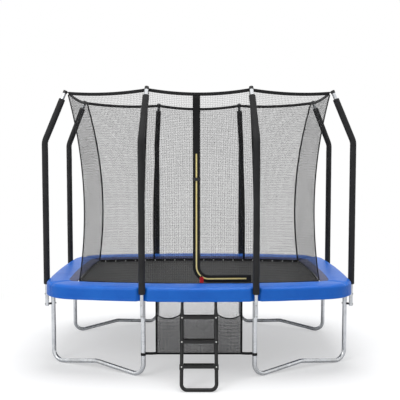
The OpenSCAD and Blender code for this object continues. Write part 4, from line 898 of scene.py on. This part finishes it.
def v_rings():
    """Wire triangles whose points take the springs' hooks."""
    bpy.ops.mesh.primitive_torus_add(major_radius=0.0173, minor_radius=0.0018, major_segments=3,
                                     minor_segments=6)
    ring = bpy.context.object
    bpy.ops.object.transform_apply()
    for vertex in ring.data.vertices:
        vertex.co.x, vertex.co.y = -vertex.co.x * 1.32, vertex.co.y * 0.86
    low = min(v.co.x for v in ring.data.vertices)
    ring.data.transform(Matrix.Translation((0.2242 - low, 0, 0)))
    everywhere = [place for side in SPRINGS.values() for place in side]
    obj = copies("mat_rings", ring, [spring_frame(place, MAT_TOP + 2.3) for place in everywhere])
    discard(ring)
    obj.data.polygons.foreach_set("use_smooth", [True] * len(obj.data.polygons))
    outward(obj)
    finish_piece(obj, "mat_unit", SPRING_STEEL, ("v_rings",))
    bpy.ops.mesh.primitive_cube_add(size=1)
    tab = bpy.context.object
    tab.scale = (0.0034, 0.0105, 0.0125)
    tab.location = (0.2712, 0, 0.0068)
    bpy.ops.object.transform_apply(location=True, rotation=True, scale=True)
    modify(tab, "BEVEL", width=0.0012, segments=2)
    # A tab by each V-ring, white as a painted glint of the ring
    ties = copies("hem_ties_painted_glint", tab, [spring_frame(place, MAT_TOP + 1.2) for place in everywhere])
    discard(tab)
    finish_piece(ties, "mat_unit", TIE_PAINTED_GLINT)


v_rings()


# ---- safety net ----
# The eight seams, counter-clockwise from the rear right: side x, side y, on a long side
SEAMS = [(1, 1, False), (1, 1, True), (-1, 1, True), (-1, 1, False),
         (-1, -1, False), (-1, -1, True), (1, -1, True), (1, -1, False)]
SPANS = ["rear_right", "rear", "rear_left", "left", "front_left", "front", "front_right", "right"]
LONG_FOOT = Vector((525, long_y(HEM_LINE, 525)))
SHORT_FOOT = corner_point(HEM_LINE)


def seam(k):
    return SEAMS[k % 8]


def on_side(k, p):
    return Vector((seam(k)[0] * p[0], seam(k)[1] * p[1]))


def seam_top(k):
    return on_side(k, LONG_HANG if seam(k)[2] else SHORT_HANG)


def seam_foot(k):
    return on_side(k, LONG_FOOT if seam(k)[2] else SHORT_FOOT)


def seam_draw(k):
    return on_side(k, (20, -LONG_DRAW) if seam(k)[2] else (-SHORT_DRAW, 0))


def is_long(k):
    return seam(k)[2] and seam(k + 1)[2]


def is_corner(k):
    return seam(k)[2] != seam(k + 1)[2]


def span_out(k):
    d = seam_top(k + 1) - seam_top(k)
    return Vector((d.y, -d.x)).normalized()


def corner_hem_point(t):
    """A point of the hem between a long-side seam and the corner."""
    start = math.atan2(LONG_FOOT.y - long_centre(HEM_LINE).y, LONG_FOOT.x)
    turn, short_turn = corner_angles(HEM_LINE)
    to = (turn + short_turn) / 2
    long_part = (start - turn) * HEM_LINE[2]
    corner_part = (turn - to) * HEM_LINE[4]
    s = t * (long_part + corner_part)
    if s < long_part:
        centre, r, angle = long_centre(HEM_LINE), HEM_LINE[2], start - s / HEM_LINE[2]
    else:
        centre, r = corner_centre(HEM_LINE), HEM_LINE[4]
        angle = turn - (s - long_part) / HEM_LINE[4]
    return centre + r * Vector((math.cos(angle), math.sin(angle)))


def span_foot(k, t):
    p = lerp(seam_foot(k), seam_foot(k + 1), t)
    if is_long(k):
        return Vector((p.x, seam(k)[1] * long_y(HEM_LINE, p.x)))
    if is_corner(k):
        return on_side(k, corner_hem_point(t if seam(k)[2] else 1 - t))
    return Vector((seam(k)[0] * short_x(HEM_LINE, p.y), p.y))


def band_h(k, t):
    return HANG_H - (LONG_SAG if is_long(k) else SHORT_SAG) * 4 * t * (1 - t)


def net_top(k, t):
    return band_h(k, t) - BAND_W / 2 - 0.3


def net_point(k, t, drop):
    """A point of span k: t from 0 to 1 along it, and drop from 0 at the band to 1 at the hem."""
    top = lerp(seam_top(k), seam_top(k + 1), t)
    draw = lerp(seam_draw(k), seam_draw(k + 1), t)
    p = lerp(top, span_foot(k, t), drop) + draw * 4 * drop * (1 - drop)
    return Vector((p.x, p.y, lerp(net_top(k, t), NET_FOOT, drop)))


def sheet_area(rows):
    """Area of a surface through rows of points."""
    total = 0.0
    for upper, lower in zip(rows, rows[1:]):
        for i in range(len(upper) - 1):
            a, b, c, d = upper[i], upper[i + 1], lower[i + 1], lower[i]
            total += ((b - a).cross(c - a).length + (c - a).cross(d - a).length) / 2
    return total


def cloth_rows(count, cols, place):
    """Rows of points and of their places on the cloth: place takes shares down and across."""
    pairs = [[place(i / count, j / cols) for j in range(cols + 1)] for i in range(count + 1)]
    return [[p for p, _ in row] for row in pairs], [[uv for _, uv in row] for row in pairs]


def net_panel(k):
    """One panel of the net, with shallow slanting folds from its upper corners."""
    run = (seam_top(k + 1) - seam_top(k)).length
    gap = 4 / run
    cols, count = max(16, round(run / 26)), 64
    out = span_out(k).to_3d()

    def place(drop, share):
        t = lerp(gap, 1 - gap, share)
        hold = min(1, 4 * t, 4 * (1 - t), 5 * drop, 5 * (1 - drop))
        slant = (t - 0.5) * 2.4 * (1 if t < 0.5 else -1)
        fold = ripple(slant + drop * 1.6, t * 1.2, 0, k)
        p = net_point(k, t, drop) + out * (3.0 * fold * hold)
        return at(*p), (t * run / 1000, drop * 1.7)

    rows, uvs = cloth_rows(count, cols, place)
    width = max(sum((b - a).length for a, b in zip(row, row[1:])) for row in rows)
    obj = surface(f"net_cloth_{SPANS[k]}", rows, uvs)
    thicken(obj, 0.0012)
    cloth_used = NET_END_CLOTH if SPANS[k] in ("left", "right") else NET_CLOTH
    finish_piece(obj, "frame", cloth_used, (f"net_{SPANS[k]}",))
    area = sheet_area(rows)


def strap_section(half_w, half_t, corner=0.8):
    """A flat strap's section as (across, out), counter-clockwise."""
    w, t, c = half_w, half_t, min(corner, half_t * 0.9)
    return [(-w + c, -t), (-w / 2, -t), (0, -t), (w / 2, -t), (w - c, -t), (w, -t + c), (w, t - c),
            (w - c, t), (w / 2, t), (0, t), (-w / 2, t), (-w + c, t), (-w, t - c), (-w, -t + c)]


def strap_uvs(section, count, step):
    """Distance along and across a strap, in metres."""
    return [[(i * step / 1000, a / 1000) for a, _ in section] for i in range(count)]


def straps(name, runs):
    """One piece of several straps, each given as rows of points and the pairs of their UVs."""
    verts, faces, uvs = [], [], []
    for rows, pairs in runs:
        faces += grid(rows, closed_cols=True, caps=True, first=len(verts))
        verts += [p for row in rows for p in row]
        uvs += [pair for row in pairs for pair in row]
    return outward(new_piece(name, verts, faces, uvs))


def top_band():
    """The bound upper edge of the net, which sags between the poles."""
    section = strap_section(BAND_W / 2, BAND_T / 2 - 0.3, 1.6)
    rows = []
    per_span = 24
    for k in range(8):
        for i in range(per_span):
            t = i / per_span
            bend = span_out(k) + span_out(k + 7)
            out = bend / bend.dot(span_out(k)) if i == 0 else span_out(k)
            p = lerp(seam_top(k), seam_top(k + 1), t)
            h = band_h(k, t)
            lean = 0.5 * ripple(p.x / 160, p.y / 160, 0, 2)
            row = []
            for across, away in section:
                q = p + out * (away + lean * across / 13)
                row.append(at(q.x, q.y, h + across))
            rows.append(row)
    obj = surface("net_top_band", rows, strap_uvs(section, len(rows), 35), closed_cols=True,
                  closed_rows=True)
    outward(obj)
    finish_piece(obj, "frame", BAND_WEBBING, ("net_band",))


def hem_band():
    """The net's lower hem, from the mat's level up to the net's foot."""
    line = loop_points(HEM_LINE, 26)
    width = len(line)
    heights = [HEM_FOOT + 0.2, 791.4, 793, 796, 796.6, 801, 806, 810, 810.6, 814.6, HEM_TOP]
    # half the thickness at each height: the cloth is folded at its foot and at its top
    halves = [1.2, 1.2, 1.5, 1.5, 1.2, 1.2, 1.2, 1.2, 1.5, 1.5, 1.2]
    section = list(zip(heights, halves)) + [(h, -t) for h, t in zip(heights, halves)][::-1]
    rows = []
    for i, p in enumerate(line):
        ahead = (line[(i + 1) % width] - line[i - 1]).normalized()
        out = Vector((ahead.y, -ahead.x))
        points = [(p + out * t, h) for h, t in section]
        rows.append([at(q.x, q.y, h) for q, h in points])
    uvs = [[(i * 0.026, h / 1000) for h, _ in section] for i in range(width)]
    obj = surface("net_hem_band", rows, uvs, closed_cols=True, closed_rows=True)
    outward(obj)
    finish_piece(obj, None, BLACK_WEBBING)
    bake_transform(obj)
    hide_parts("net_hem")


def seam_tapes():
    """The eight tapes over the panels' edges."""
    section = strap_section(11, 2.4, 1.2)
    count = 56
    tapes = []
    for k in range(8):
        out = (span_out(k) + span_out(k + 7)).to_3d().normalized()
        side = Vector((-out.y, out.x, 0))
        rows = []
        for i in range(count + 1):
            p = net_point(k, 0, i / count) + out * 3.6
            rows.append([at(*(p + side * across + out * away)) for across, away in section])
        tapes.append((rows, strap_uvs(section, count + 1, 31)))
    finish_piece(straps("net_seam_tapes", tapes), "frame", BLACK_WEBBING,
                 ("net_seams",))


for k in range(8):
    net_panel(k)
top_band()
hem_band()
seam_tapes()


# ---- door ----
def front_y(x, h):
    """The net's middle at the front, as Y at the place x and height h."""
    top = net_top(5, 0.5 + x / (2 * LONG_HANG.x))
    drop = min(1, max(0, (top - h) / (top - NET_FOOT)))
    half = lerp(LONG_HANG.x, LONG_FOOT.x, drop) + 20 * 4 * drop * (1 - drop)
    return net_point(5, 0.5 + x / (2 * half), drop).y


def door_path(from_h, to_x, step):
    """Points of the door's path as (x, height, direction)."""
    cx, cz = ZIP_X + ZIP_BEND_R, ZIP_FOOT + ZIP_BEND_R
    down = math.ceil((from_h - cz) / step)
    along = math.ceil((to_x - cx) / step)
    path = [(ZIP_X, lerp(from_h, cz, i / down), 0.0) for i in range(down)]
    path += [(cx - ZIP_BEND_R * math.cos(a), cz - ZIP_BEND_R * math.sin(a), a)
             for a in [math.radians(5 * i) for i in range(19)]]
    return path + [(lerp(cx, to_x, i / along), ZIP_FOOT, math.pi / 2)
                   for i in range(1, along + 1)]


def door_ribbon(name, path, section, middle_out):
    """A ribbon along the door's path, middle_out millimetres outside the net's middle."""
    rows = []
    for x, h, turn in path:
        row = []
        for across, away in section:
            px, pz = x + across * math.cos(turn), h + across * math.sin(turn)
            row.append(at(px, front_y(px, pz) - middle_out - away, pz))
        rows.append(row)
    length = [0.0]
    for a, b in zip(path, path[1:]):
        length.append(length[-1] + math.hypot(b[0] - a[0], b[1] - a[1]))
    return straps(name, [(rows, [[(run / 1000, across / 1000) for across, _ in section]
                                 for run in length])])


def door():
    start = net_top(5, 0.5 + (ZIP_X - WEB_W / 2) / (2 * LONG_HANG.x))
    flap = door_ribbon("door_flap", door_path(start, FLAP_END_X, 30),
                       strap_section(WEB_W / 2, 0.95, 0.5), 3.1)
    finish_piece(flap, "frame", BLACK_WEBBING, ("door_webbing",))
    tape = door_ribbon("zip_tape", door_path(ZIP_HEAD, ZIP_END_X, 30),
                       strap_section(ZIP_W / 2, 0.3, 0.2), 4.75)
    finish_piece(tape, "frame", ZIP_TAPE, ("zip_chain",))
    bpy.ops.mesh.primitive_cube_add(size=1)
    tooth = bpy.context.object
    tooth.scale = (0.0062, 0.0008, 0.0022)
    bpy.ops.object.transform_apply(location=True, rotation=True, scale=True)
    modify(tooth, "BEVEL", width=0.0003, segments=1)
    places = []
    for i, (x, h, turn) in enumerate(door_path(ZIP_HEAD - 2, ZIP_END_X - 2, TOOTH_PITCH)):
        shift = 0.9 if i % 2 else -0.9
        px, pz = x + shift * math.cos(turn), h + shift * math.sin(turn)
        y = front_y(px, pz) - 5.5
        places.append(Matrix.Translation(at(px, y, pz)) @ Matrix.Rotation(-turn, 4, "Y"))
    teeth = copies("zip_teeth", tooth, places)
    discard(tooth)
    finish_piece(teeth, "frame", ZIP_TEETH)


door()


def ribbon_pull():
    """A folded fabric ribbon, sewn round the pull's pin."""
    pin = at(*PULL_PIN)
    down = Vector((0, math.sin(PULL_SLOPE), -math.cos(PULL_SLOPE)))
    out = Vector((0, -math.cos(PULL_SLOPE), -math.sin(PULL_SLOPE)))
    profile = [(-2.2, 0.6), (-1.2, 1.9), (0.4, 2.5), (3, 2.1), (7, 1.4), (12, 1.0)]
    profile += [(12 + 48 * i / 16, 1.0 + 0.5 * math.sin(i * 0.9)) for i in range(1, 17)]
    rows, uvs = [], []
    for along, away in profile:
        width = PULL_HALF * (0.14 + 0.86 * ease(along, 2, 10))
        row, uv = [], []
        for j in range(13):
            across = lerp(-width, width, j / 12)
            wave = 0.5 * ripple(across / 9, along / 14, 0, 3) * ease(along, 4, 20)
            p = pin + (down * along + out * (away - 1.0 + wave)) / 1000
            p = p + Vector((across / 1000, 0, 0))
            row.append(p)
            uv.append((along / 1000, across / 1000))
        rows.append(row)
        uvs.append(uv)
    obj = surface("pull_ribbon", rows, uvs)
    thicken(obj, 0.0012)
    finish_piece(obj, "zip_pull", RIBBON, ("zip_pull",))


ribbon_pull()


# ---- shoe bag ----
def bag_wave(x, z):
    """How far the hanging sheet stands out from flat."""
    return 1.6 * ripple(x / 160, z / 210, 0, 5) + 0.6 * ripple(x / 60, z / 90, 0, 6)


def shoe_bag():
    """The bag's mesh back with bound edges, hung on loops and tied to the legs."""
    def back_place(down, share):
        z = lerp(BAG_TOP - 14, BAG_FOOT + 14, down)
        x = lerp(-BAG_HALF + 12, BAG_HALF - 12, share)
        return at(x, -BAG_Y + bag_wave(x, z), z), (x / 1000, z / 1000)

    back = surface("bag_back", *cloth_rows(44, 64, back_place))
    thicken(back, 0.0008)
    finish_piece(back, "frame", BAG_CLOTH, ("shoe_bag",))
    # binding round the sheet, the hanging loops and the straps to the legs
    runs = []

    def add(count, section, place):
        """Adds a strap of count lengths. place gives a point from share, across and away."""
        rows = [[at(*place(i / count, across, away)) for across, away in section]
                for i in range(count + 1)]
        runs.append((rows, strap_uvs(section, count + 1, 20)))

    def along_edge(t, across, away):
        x = lerp(-BAG_HALF, BAG_HALF, t)
        return x, -BAG_Y + bag_wave(x, edge_h) - away, edge_h + across

    def down_edge(t, across, away):
        x, z = side * (BAG_HALF - 9), lerp(BAG_TOP - 1, BAG_FOOT + 1, t)
        return x + across, -BAG_Y + bag_wave(x, z) - away * 0.9, z

    def round_rail(t, across, away):
        turn = math.radians(-30 + 330 * t)
        r = LOOP_R + away
        return loop_x + across, rail_y + r * math.cos(turn), RAIL_H + r * math.sin(turn)

    def below_rail(t, across, away):
        return (loop_x + across, lerp(rail_y + LOOP_R, -BAG_Y, t) - away,
                lerp(RAIL_H, BAG_TOP - 22, t))

    def round_leg(t, across, away):
        turn, r = 2 * math.pi * t * 0.98, TIE_R + away
        return leg_x + r * math.cos(turn), -LONG_LEG.y + r * math.sin(turn), TIE_H + across

    def to_leg(t, across, away):
        return (lerp(side * (BAG_HALF - 16), leg_x, t),
                lerp(-BAG_Y, TIE_R - LONG_LEG.y, t) - away,
                TIE_H + across - 3 * math.sin(math.pi * t))

    section = strap_section(9, 1.0, 0.5)
    for edge_h in (BAG_TOP - 9, BAG_FOOT + 9):
        add(40, section, along_edge)
    for side in (-1, 1):
        add(28, section, down_edge)
    section = strap_section(12.5, 1.1, 0.6)
    for loop_x in (-2 * LONG_PITCH, 0, 2 * LONG_PITCH):
        rail_y = -long_y(RAIL_LINE, loop_x)
        add(24, section, round_rail)
        add(8, section, below_rail)
    section = strap_section(12.5, 1.0, 0.5)
    for side in (-1, 1):
        leg_x = side * LONG_LEG.x
        add(32, section, round_leg)
        add(8, section, to_leg)
    finish_piece(straps("bag_binding", runs), "frame", BLACK_WEBBING)


def pocket(name, low_x, high_x, seed):
    """A pocket that swells out of the bag, with a bound scalloped mouth."""
    cols, count = 36, 26
    middle, half = (low_x + high_x) / 2, (high_x - low_x) / 2

    def place(down, share):
        s = lerp(-1, 1, share)
        z = lerp(POCKET_TOP - MOUTH_DIP * (1 - s * s), POCKET_FOOT + 1, down)
        edge = 1 - abs(s) ** 5
        swell = 19 * edge * (0.35 + 0.65 * ease(z, POCKET_FOOT, POCKET_FOOT + 60))
        swell += 1.6 * edge * ripple(s * 3, z / 60, 0, seed)
        x = middle + s * half
        return at(x, -BAG_Y - 1.4 - max(0.2, min(20.6, swell)), z), (x / 1000, z / 1000)

    rows, uvs = cloth_rows(count, cols, place)
    obj = surface(name, rows, uvs)
    area = sheet_area(rows)
    thicken(obj, 0.0008)
    finish_piece(obj, "frame", POCKET_CLOTH, ())
    width = sum((b - a).length for a, b in zip(rows[3], rows[3][1:]))
    section = strap_section(6, 1.0, 0.5)
    mouth = [[p + Vector((0, -away, across - 5)) / 1000 for across, away in section]
             for p in rows[0]]
    rim = straps(name + "_rim", [(mouth, strap_uvs(section, len(mouth), 9))])
    finish_piece(rim, "frame", BLACK_WEBBING)
    section = strap_section(8, 0.9, 0.5)
    edges = []
    for j, shift in ((0, 8), (cols, -8)):
        edge_rows = [[row[j] + Vector((across + shift, -1.2 - away, 0)) / 1000
                      for across, away in section] for row in rows]
        edges.append((edge_rows, strap_uvs(section, len(rows), 14)))
    finish_piece(straps(name + "_edges", edges), "frame", BLACK_WEBBING)
    return obj


shoe_bag()

first_pocket = pocket("pocket_middle", -MIDDLE_POCKET_HALF, MIDDLE_POCKET_HALF, 1)
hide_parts("shoe_pockets")
pocket("pocket_left", -BAG_HALF, -BAG_HALF + SIDE_POCKET_W, 2)
pocket("pocket_right", BAG_HALF - SIDE_POCKET_W, BAG_HALF, 3)


# ---- studio ----
def floor():
    """A pale ground, which fades to white with the distance from the part."""
    bpy.ops.mesh.primitive_plane_add(size=120)
    obj = bpy.context.object
    obj.name = "studio_floor"
    material, tree, shader, place = new_material("studio_floor")
    shader.inputs["Roughness"].default_value = 0.9
    shader.inputs["Specular IOR Level"].default_value = 0.0
    path = put("LightPath", tree=tree).outputs
    seen = maths("MAXIMUM", path["Is Camera Ray"], path["Is Transmission Ray"])
    away = put("VectorMath", {"operation": "LENGTH"}, _0=place["Object"]).outputs["Value"]
    far = spread(away, 2.0, 3.8)
    near_white = mixed(far, (0.62, 0.62, 0.625, 1), (0, 0, 0, 1))
    tree.links.new(mixed(seen, (0.82, 0.82, 0.83, 1), near_white),
                   shader.inputs["Base Color"])
    level = spread(far, 0, 1, 0.45, 1.0)
    glow = put("Emission", Color=(1, 1, 1, 1), Strength=maths("MULTIPLY", seen, level))
    both = put("AddShader", _0=shader.outputs[0], _1=glow.outputs[0])
    tree.links.new(both.outputs[0], tree.nodes["Material Output"].inputs["Surface"])
    obj.data.materials.append(material)


def sky():
    """Soft light from all round in front of a white background."""
    world = bpy.data.worlds.new("studio")
    bpy.context.scene.world = world
    world.use_nodes = True
    tree = world.node_tree
    light = tree.nodes["Background"]
    light.inputs["Color"].default_value = (0.97, 0.985, 1.0, 1)
    light.inputs["Strength"].default_value = 0.5
    white = put("Background", tree=tree, Color=(1, 1, 1, 1), Strength=1.0)
    path = put("LightPath", tree=tree).outputs
    seen = maths("MAXIMUM", path["Is Camera Ray"],
                 maths("MAXIMUM", path["Is Glossy Ray"], path["Is Transmission Ray"]))
    both = put("MixShader", _0=seen, _1=light.outputs[0], _2=white.outputs[0])
    tree.links.new(both.outputs[0], tree.nodes["World Output"].inputs["Surface"])


def lamp(name, location, target, size, power):
    light = bpy.data.lights.new(name, "AREA")
    light.shape = "DISK"
    light.size = size
    light.energy = power
    obj = bpy.data.objects.new(name, light)
    obj.location = location
    obj.rotation_euler = (Vector(target) - Vector(location)).to_track_quat("-Z", "Y").to_euler()
    bpy.context.scene.collection.objects.link(obj)


floor()
sky()
lamp("overhead", (0.3, 0.2, 6.2), (0, 0.1, 0), 4.5, 290)
lamp("front_left", (-4.2, -6.0, 5.0), (0, 0, 1.2), 3.5, 150)

CAMERA_DISTANCE, CAMERA_H, CAMERA_DIP = 6620, 1955, 0.061
camera = bpy.data.cameras.new("view")
camera.lens = 56.7
camera.sensor_width = 36
camera.shift_x = 0.0025
camera_obj = bpy.data.objects.new("view", camera)
camera_obj.location = at(0, -CAMERA_DISTANCE, CAMERA_H)
camera_obj.rotation_euler = (math.pi / 2 - CAMERA_DIP, 0, 0)
bpy.context.scene.collection.objects.link(camera_obj)
bpy.context.scene.camera = camera_obj
bpy.context.scene.view_settings.view_transform = "Standard"
